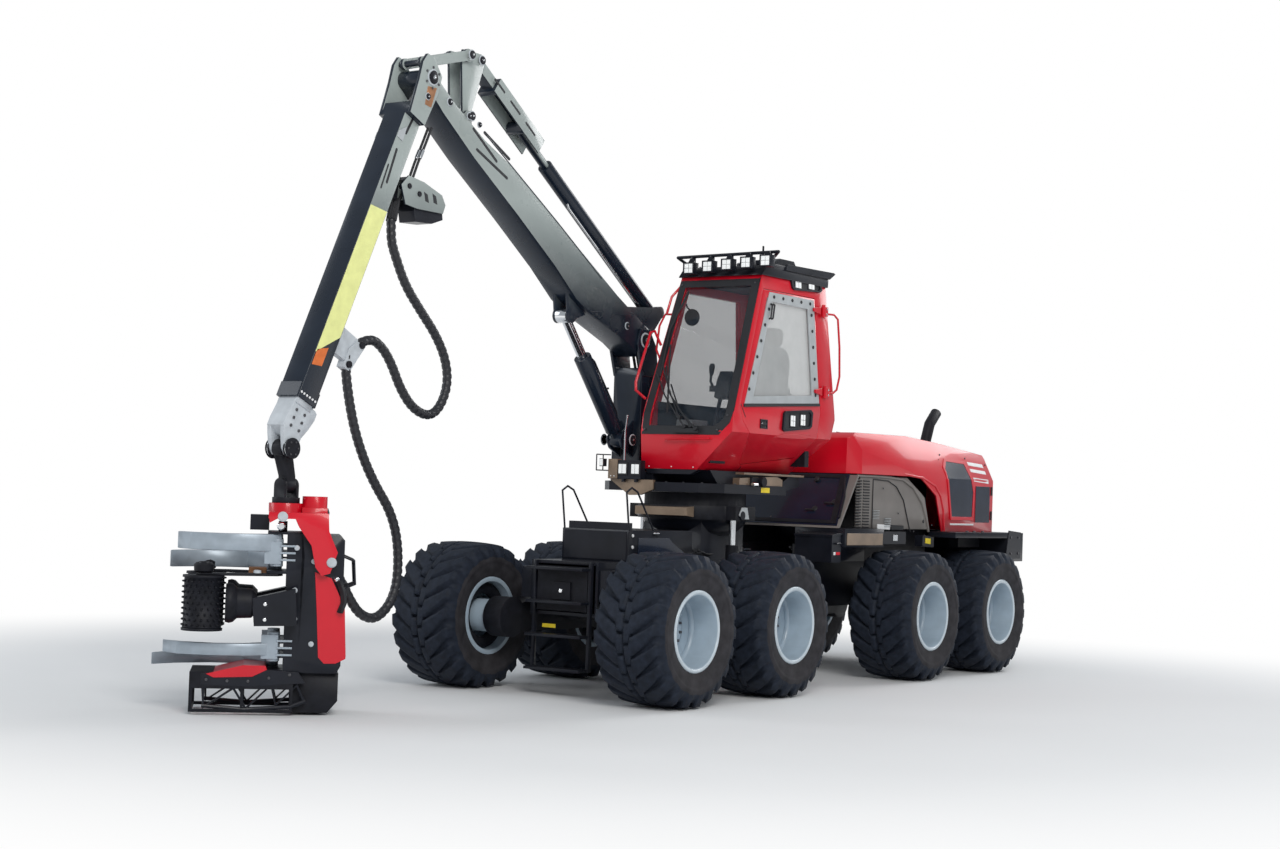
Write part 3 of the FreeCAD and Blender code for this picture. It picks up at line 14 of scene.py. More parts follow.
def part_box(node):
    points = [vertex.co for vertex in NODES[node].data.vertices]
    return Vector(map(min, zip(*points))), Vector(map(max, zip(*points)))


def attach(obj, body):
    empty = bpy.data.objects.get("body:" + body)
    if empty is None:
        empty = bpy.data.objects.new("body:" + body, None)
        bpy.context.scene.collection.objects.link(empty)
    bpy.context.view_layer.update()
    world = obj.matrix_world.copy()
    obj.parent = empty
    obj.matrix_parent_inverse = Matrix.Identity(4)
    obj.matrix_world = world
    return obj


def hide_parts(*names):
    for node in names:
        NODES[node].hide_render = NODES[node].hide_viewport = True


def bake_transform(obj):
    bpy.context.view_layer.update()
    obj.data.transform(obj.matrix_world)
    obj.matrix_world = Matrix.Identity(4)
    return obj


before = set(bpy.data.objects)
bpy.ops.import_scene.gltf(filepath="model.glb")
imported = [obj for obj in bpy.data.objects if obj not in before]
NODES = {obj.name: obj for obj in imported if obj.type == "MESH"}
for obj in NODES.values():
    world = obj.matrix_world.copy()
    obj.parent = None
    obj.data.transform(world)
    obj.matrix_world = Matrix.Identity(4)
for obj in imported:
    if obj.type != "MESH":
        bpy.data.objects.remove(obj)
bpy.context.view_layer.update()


# ---------------------------------------------------------------- places
def middle(node):
    low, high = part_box(node)
    return (low + high) / 2


HOME = Vector(((middle("tyre_1_left").x + middle("tyre_2_left").x) / 2,
               (middle("tyre_1_left").y + middle("tyre_1_right").y) / 2, 0))
TO_ROW = Matrix.Translation(HOME)
SIDES = {"left": 1, "right": -1}


def at(x, y, z, pitch=0.0, yaw=0.0):
    """Local frame at a machine-frame point; pitch lifts local X, yaw turns it to the left, in degrees."""
    turn = Matrix.Rotation(math.radians(yaw), 4, "Z") @ Matrix.Rotation(-math.radians(pitch), 4, "Y")
    return Matrix.Translation((x, y, z)) @ turn


BOOM_ANGLE, STICK_ANGLE = 30.9, -65.3
CRANE_Y = -0.62
BOOM_LENGTH = 3.87
BOOM_SIDE, CHEEK = 0.15, 0.1803
BOOM = at(-0.98, CRANE_Y, 3.35, BOOM_ANGLE)
STICK = at(*(BOOM @ Vector((BOOM_LENGTH, 0, 0))), STICK_ANGLE)
STICK_SIDE, TIP_REACH = 0.12, 3.542
TIP = STICK @ Vector((TIP_REACH, 0, -0.045))
CROSS = TIP + Vector((-0.06, 0, -0.295))
HEAD = at(*(CROSS + Vector((0, 0, -0.211))), 0, -45)
ROCKER_FOOT = BOOM @ Vector((BOOM_LENGTH - 0.611, 0, 0.0985))
BAR_PIN = ROCKER_FOOT + Vector((-0.171, 0, 0.532))
COUPLER_PIN = ROCKER_FOOT + Vector((0.031, 0, 0.538))
BAR_FOOT = BOOM @ Vector((-0.145, 0, 0.45))
BAR_LENGTH = (BAR_PIN - BAR_FOOT).length
BAR = at(*BAR_FOOT, math.degrees(math.atan2(BAR_PIN.z - BAR_FOOT.z, BAR_PIN.x - BAR_FOOT.x)))
LIFT_FOOT = Vector((-0.83, CRANE_Y, 2.36))
LIFT_TOP = BOOM @ Vector((1.021, 0, -0.436))
LIFT = at(*LIFT_FOOT, math.degrees(math.atan2(LIFT_TOP.z - LIFT_FOOT.z, LIFT_TOP.x - LIFT_FOOT.x)))


# ---------------------------------------------------------------- materials
def link(tree, source, output, target, name):
    tree.links.new(source.outputs[output], target.inputs[name])


def noise(tree, scale, detail):
    """Noise in object coordinates."""
    place = tree.nodes.new("ShaderNodeTexCoord")
    cloud = tree.nodes.new("ShaderNodeTexNoise")
    cloud.inputs["Scale"].default_value = scale
    cloud.inputs["Detail"].default_value = detail
    link(tree, place, "Object", cloud, "Vector")
    return cloud


def ranged(tree, source, output, low, high, bottom=0.0, top=1.0):
    """The value between low and high, mapped to the span from bottom to top."""
    node = tree.nodes.new("ShaderNodeMapRange")
    values = {"From Min": low, "From Max": high, "To Min": bottom, "To Max": top}
    for name, value in values.items():
        node.inputs[name].default_value = value
    link(tree, source, output, node, "Value")
    return node


def calculate(tree, operation):
    node = tree.nodes.new("ShaderNodeMath")
    node.operation = operation
    return node


def cloudy(tree, cloud, dark, light):
    """Colour that drifts between two shades with the noise."""
    ramp = tree.nodes.new("ShaderNodeValToRGB")
    for stop, position, colour in zip(ramp.color_ramp.elements, (0.3, 0.7), (dark, light)):
        stop.position = position
        stop.color = (*(min(1, part) for part in colour), 1)
    link(tree, cloud, "Fac", ramp, "Fac")
    return ramp


def dusted(tree, under, amount, colour):
    """Colour with dust on faces that look up, in soft patches."""
    split = tree.nodes.new("ShaderNodeSeparateXYZ")
    link(tree, tree.nodes.new("ShaderNodeNewGeometry"), "Normal", split, "Vector")
    total = calculate(tree, "MULTIPLY_ADD")
    total.inputs[1].default_value = 0.5
    link(tree, split, "Z", total, 0)
    link(tree, noise(tree, 2.3, 8.0), "Fac", total, 2)
    limit = ranged(tree, total, "Value", 0.35, 1.05, 0.0, amount)
    mix = tree.nodes.new("ShaderNodeMixRGB")
    mix.inputs["Color2"].default_value = (*colour, 1)
    link(tree, limit, "Result", mix, "Fac")
    link(tree, under, "Color", mix, "Color1")
    return mix


def add_bump(tree, shader, strength, scale):
    relief = tree.nodes.new("ShaderNodeBump")
    relief.inputs["Strength"].default_value = strength
    relief.inputs["Distance"].default_value = 0.004
    link(tree, noise(tree, scale, 3.0), "Fac", relief, "Height")
    link(tree, relief, "Normal", shader, "Normal")


def surface(name, colour, rough=0.4, metallic=0.0, coat=0.0, vary=0.1, grain=6.0, bump=0.0,
            bump_scale=60.0, dust=0.0, dust_colour=(0.24, 0.21, 0.18), rough_vary=0.08, sheen=0.0,
            emit=0.0, specular=0.5):
    """Painted, rubber or bare surface with uneven colour and gloss, fine bump and dust that lies on top."""
    material = bpy.data.materials.new(name)
    material.use_nodes = True
    tree = material.node_tree
    shader = tree.nodes["Principled BSDF"]
    sockets = {"Metallic": metallic, "Specular IOR Level": specular, "Coat Weight": coat,
               "Coat Roughness": 0.06, "Sheen Weight": sheen}
    if emit:
        sockets.update({"Emission Color": (*colour, 1), "Emission Strength": emit})
    for socket, value in sockets.items():
        shader.inputs[socket].default_value = value
    cloud = noise(tree, grain, 6.0)
    paint = cloudy(tree, cloud, [part * (1 - vary) for part in colour],
                   [part * (1 + vary) for part in colour])
    gloss = ranged(tree, cloud, "Fac", 0.0, 1.0, max(0.02, rough - rough_vary),
                   min(1.0, rough + rough_vary))
    link(tree, gloss, "Result", shader, "Roughness")
    if dust:
        paint = dusted(tree, paint, dust, dust_colour)
    link(tree, paint, "Color", shader, "Base Color")
    if bump:
        add_bump(tree, shader, bump, bump_scale)
    return material


def paint_side_reflection(material, pale, low, high):
    """Painted reflection: side plates get a pale grey reflection of the light painted into their colour, full
    high up and fading to the base colour lower down.
    """
    tree = material.node_tree
    shader = tree.nodes["Principled BSDF"]
    place = tree.nodes.new("ShaderNodeTexCoord")
    normal, point = tree.nodes.new("ShaderNodeSeparateXYZ"), tree.nodes.new("ShaderNodeSeparateXYZ")
    link(tree, place, "Normal", normal, "Vector")
    link(tree, place, "Object", point, "Vector")
    sideways, both = calculate(tree, "ABSOLUTE"), calculate(tree, "MULTIPLY")
    link(tree, normal, "Y", sideways, 0)
    link(tree, ranged(tree, sideways, "Value", 0.75, 0.95), "Result", both, 0)
    link(tree, ranged(tree, point, "Z", low, high), "Result", both, 1)
    # the pale colour is the painted reflection, varied a little by noise
    reflection_tone = cloudy(tree, noise(tree, 1.6, 5.0), [part * 0.82 for part in pale], pale)
    mix = tree.nodes.new("ShaderNodeMixRGB")
    tree.links.new(shader.inputs["Base Color"].links[0].from_socket, mix.inputs["Color1"])
    link(tree, reflection_tone, "Color", mix, "Color2")
    link(tree, both, "Value", mix, "Fac")
    link(tree, mix, "Color", shader, "Base Color")


def clear_glass(name, tint, alpha):
    material = surface(name, tint, rough=0.03, coat=1.0, vary=0.05, rough_vary=0.01)
    shader = material.node_tree.nodes["Principled BSDF"]
    shader.inputs["Alpha"].default_value = alpha
    shader.inputs["Coat Roughness"].default_value = 0.02
    return material


RED = surface("red_paint", (0.64, 0.003, 0.018), rough=0.32, coat=0.35, vary=0.06, grain=2.0,
              specular=0.35)
BLACK = surface("frame_black_paint", (0.01, 0.012, 0.019), rough=0.34, coat=0.1, vary=0.25, grain=4.0,
                dust=0.08, dust_colour=(0.1, 0.08, 0.06), specular=0.22)
CRANE = surface("crane_black_paint", (0.008, 0.014, 0.026), rough=0.26, coat=0.25, vary=0.2, grain=3.0,
                dust=0.04, dust_colour=(0.16, 0.19, 0.22), specular=0.3)
# lit copy of the crane paint: a pale grey painted reflection on its side plates, rising from 3.55 m to full
# at 4.45 m
CRANE_SIDE_REFLECTION = surface("crane_side_painted_reflection", (0.008, 0.014, 0.026), rough=0.28, coat=0.25, vary=0.2, grain=3.0,
                     specular=0.3, dust=0.05, dust_colour=(0.16, 0.19, 0.22))
paint_side_reflection(CRANE_SIDE_REFLECTION, (0.38, 0.43, 0.42), 3.55, 4.45)
CAST = surface("cast_black", (0.01, 0.011, 0.016), rough=0.5, vary=0.3, grain=14.0, bump=0.25,
               bump_scale=120.0, dust=0.08, dust_colour=(0.08, 0.07, 0.06), specular=0.2)
BRONZE = surface("bronze_reflecting_plate", (0.27, 0.195, 0.135), rough=0.32, metallic=0.35, coat=0.3,
                 vary=0.25, grain=5.0, dust=0.2)
GREY_PANEL = surface("grey_panel", (0.17, 0.155, 0.145), rough=0.42, coat=0.2, vary=0.12, grain=5.0,
                     dust=0.12)
TREAD = surface("tyre_rubber", (0.015, 0.02, 0.032), rough=0.6, vary=0.3, grain=18.0, bump=0.35,
                bump_scale=150.0, dust=0.14, dust_colour=(0.06, 0.07, 0.09), specular=0.15)
SIDEWALL = surface("tyre_sidewall", (0.034, 0.033, 0.038), rough=0.7, vary=0.35, grain=9.0, bump=0.3,
                   bump_scale=90.0, dust=0.14, dust_colour=(0.11, 0.095, 0.08), specular=0.15)
RIM = surface("rim_paint", (0.36, 0.45, 0.53), rough=0.38, coat=0.35, vary=0.08, grain=7.0, dust=0.1)
RIM_EDGE = surface("rim_edge", (0.56, 0.64, 0.7), rough=0.34, coat=0.4, vary=0.05, grain=7.0)
STEEL = surface("knife_steel", (0.36, 0.42, 0.48), rough=0.36, metallic=0.25, vary=0.1, grain=10.0,
                dust=0.1)
PALE = surface("pale_casting", (0.5, 0.54, 0.58), rough=0.45, vary=0.1, grain=12.0, bump=0.15)
CHROME = surface("chrome_rod", (0.8, 0.82, 0.84), rough=0.1, metallic=1.0, vary=0.03, rough_vary=0.04)
RUBBER = surface("black_rubber", (0.014, 0.015, 0.019), rough=0.6, vary=0.2, grain=20.0)
LAMP = surface("lamp_glass", (0.86, 0.88, 0.88), rough=0.12, coat=0.8, vary=0.06, grain=60.0, emit=0.25)
YELLOW = surface("yellow_label", (0.86, 0.66, 0.02), rough=0.45, vary=0.08, grain=20.0)
PALE_YELLOW = surface("pale_yellow_band", (0.8, 0.83, 0.33), rough=0.4, vary=0.07, grain=12.0)
WHITE = surface("white_stripe", (0.82, 0.83, 0.84), rough=0.35, coat=0.3, vary=0.04, grain=15.0)
SEAT = surface("seat_cloth", (0.024, 0.026, 0.034), rough=0.85, vary=0.25, grain=40.0, bump=0.4,
               bump_scale=260.0, sheen=0.2)
GLASS = clear_glass("cab_window_glass", (0.03, 0.045, 0.065), 0.26)
DOOR_GLASS = clear_glass("door_window_glass", (0.7, 0.72, 0.72), 0.45)
BOLT = surface("bolt_metal", (0.1, 0.1, 0.11), rough=0.4, metallic=0.6, vary=0.2, grain=30.0)
PANEL_DARK = surface("dark_panel", (0.01, 0.017, 0.036), rough=0.22, coat=0.2, vary=0.15, grain=4.0,
                      specular=0.3)
PALE_FRAME = surface("pale_window_frame", (0.42, 0.45, 0.47), rough=0.42, vary=0.08, grain=8.0, dust=0.08)
COPPER = surface("copper_patch", (0.42, 0.2, 0.1), rough=0.35, metallic=0.6, vary=0.25, grain=9.0)
ORANGE = surface("orange_label", (0.7, 0.16, 0.03), rough=0.4, vary=0.08, grain=20.0)
BLUE = surface("blue_screen", (0.05, 0.16, 0.5), rough=0.25, coat=0.5, vary=0.15, grain=12.0)
SEAT_BROWN = surface("headrest_cloth", (0.1, 0.055, 0.035), rough=0.85, vary=0.2, grain=40.0, bump=0.4,
                     bump_scale=260.0, sheen=0.2)
HOSE = surface("spiral_hose", (0.016, 0.017, 0.022), rough=0.42, vary=0.2, grain=30.0, bump=0.3,
               bump_scale=90.0)

WHEELS = [f"{axle}_{word}" for axle in "1234" for word in SIDES]
CAD_LOOKS = (
    (BLACK, "front_frame rear_frame front_box rear_bumper cab_roof light_bar head_frame"),
    (CAST, "front_bogies rear_bogies slew_base engine_block exhaust tip_link crosshead saw_box"),
    (CAST, "roller_arm_left roller_arm_right feed_roller_left feed_roller_right"),
    (STEEL, "knife_upper_left knife_upper_right knife_lower_left knife_lower_right"),
    (GREY_PANEL, "body_panels"),
    (RED, "hood cab_shell cab_door rotator_bracket"),
    (CRANE, "crane_post lift_cylinder_barrel bar_barrel"),
    # boom, bar fork, rocker, coupler and stick carry the painted pale reflection on their side plates
    (CRANE_SIDE_REFLECTION, "boom bar_fork rocker coupler stick"),
    (PALE, "extension"),
    (CHROME, "lift_cylinder_rod"),
    (GLASS, "cab_glass"),
    (DOOR_GLASS, "door_glass"),
    (SEAT, "operator_seat"),
    (TREAD, " ".join(f"tyre_{wheel}" for wheel in WHEELS)),
    (RIM, " ".join(f"rim_{wheel}" for wheel in WHEELS)),
)


def soften(item, width=0.006):
    """Rounded edges and smooth curved faces on a CAD node or a new piece."""
    weld = item.modifiers.new("weld", "WELD")
    weld.merge_threshold = 0.0001
    bevel = item.modifiers.new("edges", "BEVEL")
    bevel.width = width
    bevel.segments = 2
    bevel.limit_method = "ANGLE"
    bevel.angle_limit = math.radians(32)
    bevel.harden_normals = True
    bevel.use_clamp_overlap = True


for material, nodes in CAD_LOOKS:
    for node in nodes.split():
        item = NODES[node]
        item.data.materials.clear()
        item.data.materials.append(material)
        item.data.shade_smooth()
        if not node.startswith(("tyre", "cab_glass", "door_glass")):
            soften(item)


# ---------------------------------------------------------------- mesh building
def circle(count, radius, first=0.0):
    """Points (a, b) spread evenly on a circle about zero; the first angle is in degrees."""
    angles = [math.radians(first) + 2 * math.pi * k / count for k in range(count)]
    return [(radius * math.cos(angle), radius * math.sin(angle)) for angle in angles]


def across(side, near, far):
    """Low and high Y of a layer on one side of the middle, from its distances out."""
    return sorted((side * near, side * far))


def rectangle(x0, x1, z0, z1):
    return [(x0, z0), (x1, z0), (x1, z1), (x0, z1)]


def add_item(name, data):
    item = bpy.data.objects.new(name, data)
    bpy.context.scene.collection.objects.link(item)
    return item


def mesh_data(name, mesh, *materials):
    """The built mesh as Blender data; the builder's mesh is freed."""
    data = bpy.data.meshes.new(name)
    mesh.to_mesh(data)
    mesh.free()
    for material in materials:
        data.materials.append(material)
    return data


ACROSS = {
    "X": lambda a, b, level: (level, a, b),
    "Y": lambda a, b, level: (a, level, b),
    "Z": lambda a, b, level: (a, b, level),
}


class Piece:
    """Collects shapes in one local frame and becomes one mesh object that rides on a body."""

    def __init__(self, name, body, material, place=None):
        self.name, self.body = name, body
        self.place = place or Matrix()
        self.mesh = bmesh.new()
        self.materials = []
        self.use(material)

    def use(self, material):
        if material not in self.materials:
            self.materials.append(material)
        self.index = self.materials.index(material)
        return self

    def face(self, corners, smooth=False):
        made = self.mesh.faces.new(corners)
        made.material_index = self.index
        made.smooth = smooth
        return made

    def points(self, places):
        return [self.mesh.verts.new(Vector(point)) for point in places]

    def prism(self, outline, low, high, axis="Y"):
        """Outline in the plane across the axis, filled between two limits along it."""
        return self.slab(outline, low, high, ACROSS[axis])

    def slab(self, outline, low, high, place=None):
        """Plate between two depths of place(a, b, depth), which is the cab's left face unless given."""
        place = place or on_door
        under, over = (self.points([place(a, b, depth) for a, b in outline]) for depth in (low, high))
        self.face(under)
        self.face(over[::-1])
        for k in range(len(outline)):
            nxt = (k + 1) % len(outline)
            self.face([under[nxt], under[k], over[k], over[nxt]])
        return self

    def slabs(self, place, rows):
        """Plates that follow a face; each row is a look, an outline and two depths."""
        for look, outline, low, high in rows:
            self.use(look).slab(outline, low, high, place)
        return self

    def prisms(self, rows, axis="Y"):
        """Filled outlines; each row is a look, an outline and two limits."""
        for look, outline, low, high in rows:
            self.use(look).prism(outline, low, high, axis)
        return self

    def band(self, outer, inner, place, low, high):
        """Flat ring between two outlines with equal counts; place(a, b, depth) gives the point."""
        rows = ((outer, low), (outer, high), (inner, high), (inner, low))
        return self.rings([[place(a, b, depth) for a, b in outline] for outline, depth in rows], False,
                          loop=True)

    def box(self, x, y, z):
        return self.prism(rectangle(*x, *y), *z, "Z")

    def rings(self, rows, smooth=True, loop=False):
        """Skin over rows of points with equal counts; a loop joins the last row to the first."""
        rows = [self.points(row) for row in rows]
        for low, high in zip(rows, rows[1:] + rows[:1] if loop else rows[1:]):
            for k in range(len(low)):
                nxt = (k + 1) % len(low)
                self.face([low[k], low[nxt], high[nxt], high[k]], smooth)
        if not loop:
            self.face(list(reversed(rows[0])))
            self.face(rows[-1])
        return self

    def lathe(self, profile, start, end, sides=32, loop=False):
        """Turned shape: profile of (distance along, radius) about the line from start to end."""
        start, end = Vector(start), Vector(end)
        along = (end - start).normalized()
        turn = along.to_track_quat("Z", "Y").to_matrix()
        rows = []
        for step, radius in profile:
            rows.append([start + along * step + turn @ Vector((a, b, 0)) for a, b in circle(sides, radius)])
        return self.rings(rows, loop=loop)

    def rod(self, radius, start, end, sides=20, edge=0.003):
        length = (Vector(end) - Vector(start)).length
        edge = min(edge, radius * 0.4, length * 0.3)
        return self.lathe([(0, radius - edge), (edge, radius), (length - edge, radius),
                           (length, radius - edge)], start, end, sides)

    def tube(self, radius, path, sides=10):
        """Round bar along a path of points, with mitred corners."""
        path = [Vector(point) for point in path]
        rows = []
        side = None
        for k, point in enumerate(path):
            before = (point - path[k - 1]).normalized() if k else None
            after = (path[k + 1] - point).normalized() if k + 1 < len(path) else None
            along = (before + after).normalized() if before and after else before or after
            side = (side - along * side.dot(along)).normalized() if side else along.orthogonal().normalized()
            beside = along.cross(side)
            rows.append([point + (side * a + beside * b) * radius for a, b in circle(sides, 1)])
        return self.rings(rows)

    def bolts(self, places, direction, radius=0.012, height=0.008):
        direction = Vector(direction)
        for point in places:
            self.lathe([(0, radius), (height * 0.8, radius), (height, radius * 0.75)], point,
                       Vector(point) + direction, 6)
        return self

    def slot_mark(self, path, width, y):
        """Dark slot with rounded ends along a short path on a side face, local (u, v) at depth y."""
        for (u0, v0), (u1, v1) in zip(path, path[1:]):
            turn = math.degrees(math.atan2(v1 - v0, u1 - u0))
            outline = arc((u1, v1), width / 2, turn - 90, turn + 90, 6)
            outline += arc((u0, v0), width / 2, turn + 90, turn + 270, 6)
            self.prism(outline, y - 0.006, y + 0.0015)
        return self

    def boss(self, point, radius, height):
        """Pin head with a pale ring on a side face; a height below zero is on the right side."""
        x, y, z = point
        far = (x, y + (1 if height > 0 else -1), z)
        height = abs(height)
        washer = [(0, radius * 1.28), (height * 0.3, radius * 1.28), (height * 0.4, radius * 1.2)]
        head = [(0, radius), (height * 0.8, radius), (height, radius * 0.86), (height, radius * 0.3)]
        nipple = [(height * 0.9, radius * 0.3), (height * 1.2, radius * 0.28),
                  (height * 1.25, radius * 0.16)]
        self.use(PALE).lathe(washer, point, far, 28)
        self.use(CAST).lathe(head, point, far, 28)
        self.use(CHROME).lathe(nipple, point, far, 16)
        return self

    def shape(self):
        bmesh.ops.recalc_face_normals(self.mesh, faces=self.mesh.faces)
        return mesh_data(self.name, self.mesh, *self.materials)

    def done(self, bevel=0.003, slot="frame_black", replaces=()):
        data = self.shape()
        data.transform(TO_ROW @ self.place)
        item = add_item(self.name, data)
        if bevel:
            soften(item, bevel)
        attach(item, self.body)
        if replaces:
            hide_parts(*replaces)


def arc(centre, radius, start, end, steps):
    """Points of an arc in a plane, angles in degrees."""
    angles = [math.radians(start + (end - start) * k / steps) for k in range(steps + 1)]
    return [(centre[0] + radius * math.cos(angle),
             centre[1] + radius * math.sin(angle)) for angle in angles]


# ---------------------------------------------------------------- wheels
TYRE_RADIUS, ROOT_RADIUS, TYRE_HALF = 0.67, 0.626, 0.352
PITCHES = 22
TREAD_EDGE, CROWN = 0.86, 0.016
SIDE_PROFILE = [(0.322, 0.586), (0.341, 0.562), (0.35, 0.535), (0.353, 0.508), (0.3535, 0.494),
                (0.35, 0.488), (0.349, 0.47), (0.344, 0.44), (0.336, 0.41), (0.327, 0.385),
                (0.324, 0.372), (0.318, 0.359)]


def smooth_step(low, high, value):
    share = min(1.0, max(0.0, (value - low) / (high - low)))
    return share * share * (3 - 2 * share)


def sweep(share):
    """How far, in pitches, a lug has swept back at a share of the half width."""
    steps = 0.42 * smooth_step(0.2, 0.25, share)
    return steps + 1.45 * max(0.0, share - 0.3) ** 1.1


def tread_row(share, side):
    """Angles and radii of one row of tread points; the share is 0 at the centre and 1 at the edge."""
    groove = 0.09 + 0.3 * smooth_step(0.3, 1.0, share)
    ramp = 0.045
    stops = [(0.0, 0), (groove, 0), (groove + ramp, 1)]
    stops += [(groove + ramp + (1 - groove - 2 * ramp) * k / 5, 1) for k in range(1, 5)]
    stops += [(1 - ramp, 1)]
    depth = (TYRE_RADIUS - ROOT_RADIUS) * (1 - 0.55 * smooth_step(0.98, 1.25, share))
    crown = CROWN * share * share
    centre_cut = 1 - 0.75 * (1 - smooth_step(0.015, 0.04, share))
    offset = 0.5 if side < 0 else 0.0
    row = []
    for pitch in range(PITCHES):
        for fraction, high in stops:
            angle = 2 * math.pi * (pitch + fraction + offset - sweep(share)) / PITCHES
            row.append((angle, ROOT_RADIUS - crown + depth * high * centre_cut))
    return row


def tyre_half(side):
    """Rows of (angle, radius, across) from the centre of the tread to the bead on one side."""
    shares = [0.02, 0.045, 0.12, 0.2, 0.25, 0.31, 0.4, 0.52, 0.64, 0.76, 0.88, 1.0]
    rows = []
    for share in shares:
        level = side * share * TREAD_EDGE * TYRE_HALF
        rows.append([(angle, radius, level) for angle, radius in tread_row(share, side)])
    edge, foot = tread_row(1.0, side), ROOT_RADIUS - CROWN
    for step, (level, radius) in enumerate(SIDE_PROFILE):
        fade = 0.8 * max(0.0, 1 - (step + 0.6) / 3.2)
        rows.append([(angle, radius + fade * (high - foot), side * level) for angle, high in edge])
    return rows


def tyre_mesh(name):
    """Tyre about the Y axis: swept tread blocks, shoulders and ribbed sidewalls."""
    mesh = bmesh.new()
    rows = tyre_half(-1)[::-1] + tyre_half(1)
    columns = len(rows[0])
    half_pitch = columns // PITCHES // 2
    rings = []
    for index, row in enumerate(rows):
        if index < len(rows) // 2:
            row = row[-half_pitch:] + row[:-half_pitch]
        rings.append([mesh.verts.new((radius * math.sin(angle), level, radius * math.cos(angle)))
                      for angle, radius, level in row])
    ribs = len(SIDE_PROFILE) - 3
    for index, (low, high) in enumerate(zip(rings, rings[1:])):
        outer = min(index, len(rings) - 2 - index)
        for k in range(columns):
            nxt = (k + 1) % columns
            made = mesh.faces.new([low[k], low[nxt], high[nxt], high[k]])
            made.smooth = True
            made.material_index = 1 if outer < ribs else 0
    bmesh.ops.recalc_face_normals(mesh, faces=mesh.faces)
    return mesh_data(name, mesh, TREAD, SIDEWALL)


def make_wheels():
    tread = tyre_mesh("tyre_shape")
    for wheel in WHEELS:
        item = add_item(f"tread_{wheel}", tread)
        item.location = middle(f"tyre_{wheel}")
        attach(item, f"wheel_{wheel}")
        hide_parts(f"tyre_{wheel}")


def rim_mesh(name):
    """Rounded flange lip, weld rings, wheel bolts, hub bolts and valve of one rim, outward along local +Y."""
    piece = Piece(name, "", RIM_EDGE)
    out, far = (0, 0, 0), (0, 1, 0)
    piece.lathe([(0.296, 0.32), (0.318, 0.322), (0.327, 0.33), (0.329, 0.343), (0.322, 0.356),
                 (0.306, 0.359), (0.296, 0.352)], out, far, 48, loop=True)
    piece.use(RIM).lathe([(0.02, 0.3), (0.046, 0.302), (0.075, 0.314), (0.075, 0.318), (0.02, 0.318)],
                          out, far, 48, loop=True)
    piece.lathe([(0.028, 0.196), (0.036, 0.192), (0.036, 0.12), (0.028, 0.116)], out, far, 40, loop=True)
    piece.use(CAST).lathe([(0, 0.205), (0, 0.3), (0.02, 0.304), (0.05, 0.24), (0.06, 0.205)],
                          (0, -0.24, 0), far, 40, loop=True)
    piece.use(RIM_EDGE).lathe([(0.05, 0.075), (0.066, 0.07), (0.07, 0.045), (0.07, 0.006)], out, far,
                              24)
    piece.use(BOLT).bolts([(x, 0.036, z) for x, z in circle(12, 0.155, 10)], far, 0.013, 0.02)
    piece.use(RIM).bolts([(x, 0.054, z) for x, z in circle(6, 0.085, 40)], far, 0.008, 0.008)
    piece.use(RUBBER).tube(0.006, [(0.02, 0.03, -0.262), (0.02, 0.075, -0.27), (0.02, 0.095, -0.285)])
    for x, z in circle(4, 0.236, 55):
        piece.use(RIM).rod(0.026, (x, 0.026, z), (x, 0.037, z), 16)
    return piece.shape()


def make_rim_details():
    shared = rim_mesh("rim_detail_shape")
    for wheel in WHEELS:
        item = add_item(f"rim_detail_{wheel}", shared)
        item.location = middle(f"tyre_{wheel}")
        item.rotation_euler.z = math.pi if wheel.endswith("right") else 0
        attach(item, f"wheel_{wheel}")


make_wheels()
make_rim_details()


# ---------------------------------------------------------------- cab
CAB_RIGHT = -0.24


def cab_front(z):
    """X of the cab's front face at a height."""
    if z < 2.45:
        return -0.7 + 0.03 * (z - 2.085) / 0.365
    if z < 2.62:
        return -0.67 - 0.03 * (z - 2.45) / 0.17
    return -0.7 - 0.535 * (z - 2.62) / 1.37


def cab_side(z):
    """Y of the cab's left face at a height."""
    if z < 2.45:
        return 0.4 + 0.4 * (z - 2.085) / 0.365
    return 0.8 - 0.07 * max(0.0, z - 2.7) / 1.29


def on_front(y, z, depth):
    return (cab_front(z) + depth, y, z)


def on_door(x, z, depth):
    return (x, cab_side(z) + depth, z)


def lamp_pair(name, body, outline, lamps, half_x, half_z):
    """Black bezel with two square lamps on the cab's left side."""
    piece = Piece(name, body, RUBBER)
    centre = [sum(values) / len(outline) for values in zip(*outline)]
    inner = [(centre[0] + (x - centre[0]) * 0.88, centre[1] + (z - centre[1]) * 0.78) for x, z in outline]
    piece.slab(outline, -0.02, 0.006)
    piece.use(BLACK).band(outline, inner, on_door, 0.0, 0.02)
    for x, z in lamps:
        def around(side, up):
            return rectangle(x - side, x + side, z - up, z + up)
        piece.slabs(on_door, [(BLACK, around(half_x + 0.01, half_z + 0.012), 0.004, 0.012),
                              (LAMP, around(half_x, half_z), 0.006, 0.018),
                              (RUBBER, around(0.002, half_z), 0.016, 0.0195),
                              (RUBBER, around(half_x, 0.002), 0.016, 0.0195)])
    piece.done()


def make_windshield_border():
    """Black border of the windshield and its bolts."""
    outer = [(-0.228, 2.415), (0.655, 2.415), (0.765, 2.53), (0.788, 2.62), (0.722, 3.955), (-0.195, 3.955),
             (-0.228, 2.62)]
    inner = [(-0.15, 2.5), (0.6, 2.5), (0.695, 2.57), (0.706, 2.62), (0.64, 3.885), (-0.125, 3.885),
             (-0.15, 2.62)]
    piece = Piece("windshield_border", "upper", RUBBER)
    piece.band(outer, inner, on_front, -0.004, 0.006)
    piece.use(BOLT)
    for y, z in ((-0.19, 2.46), (0.64, 2.46), (0.735, 2.6), (-0.165, 3.91), (0.68, 3.91)):
        piece.bolts([on_front(y, z, 0.006)], (1, 0, 0.3), 0.011, 0.01)
    piece.done(0.002)


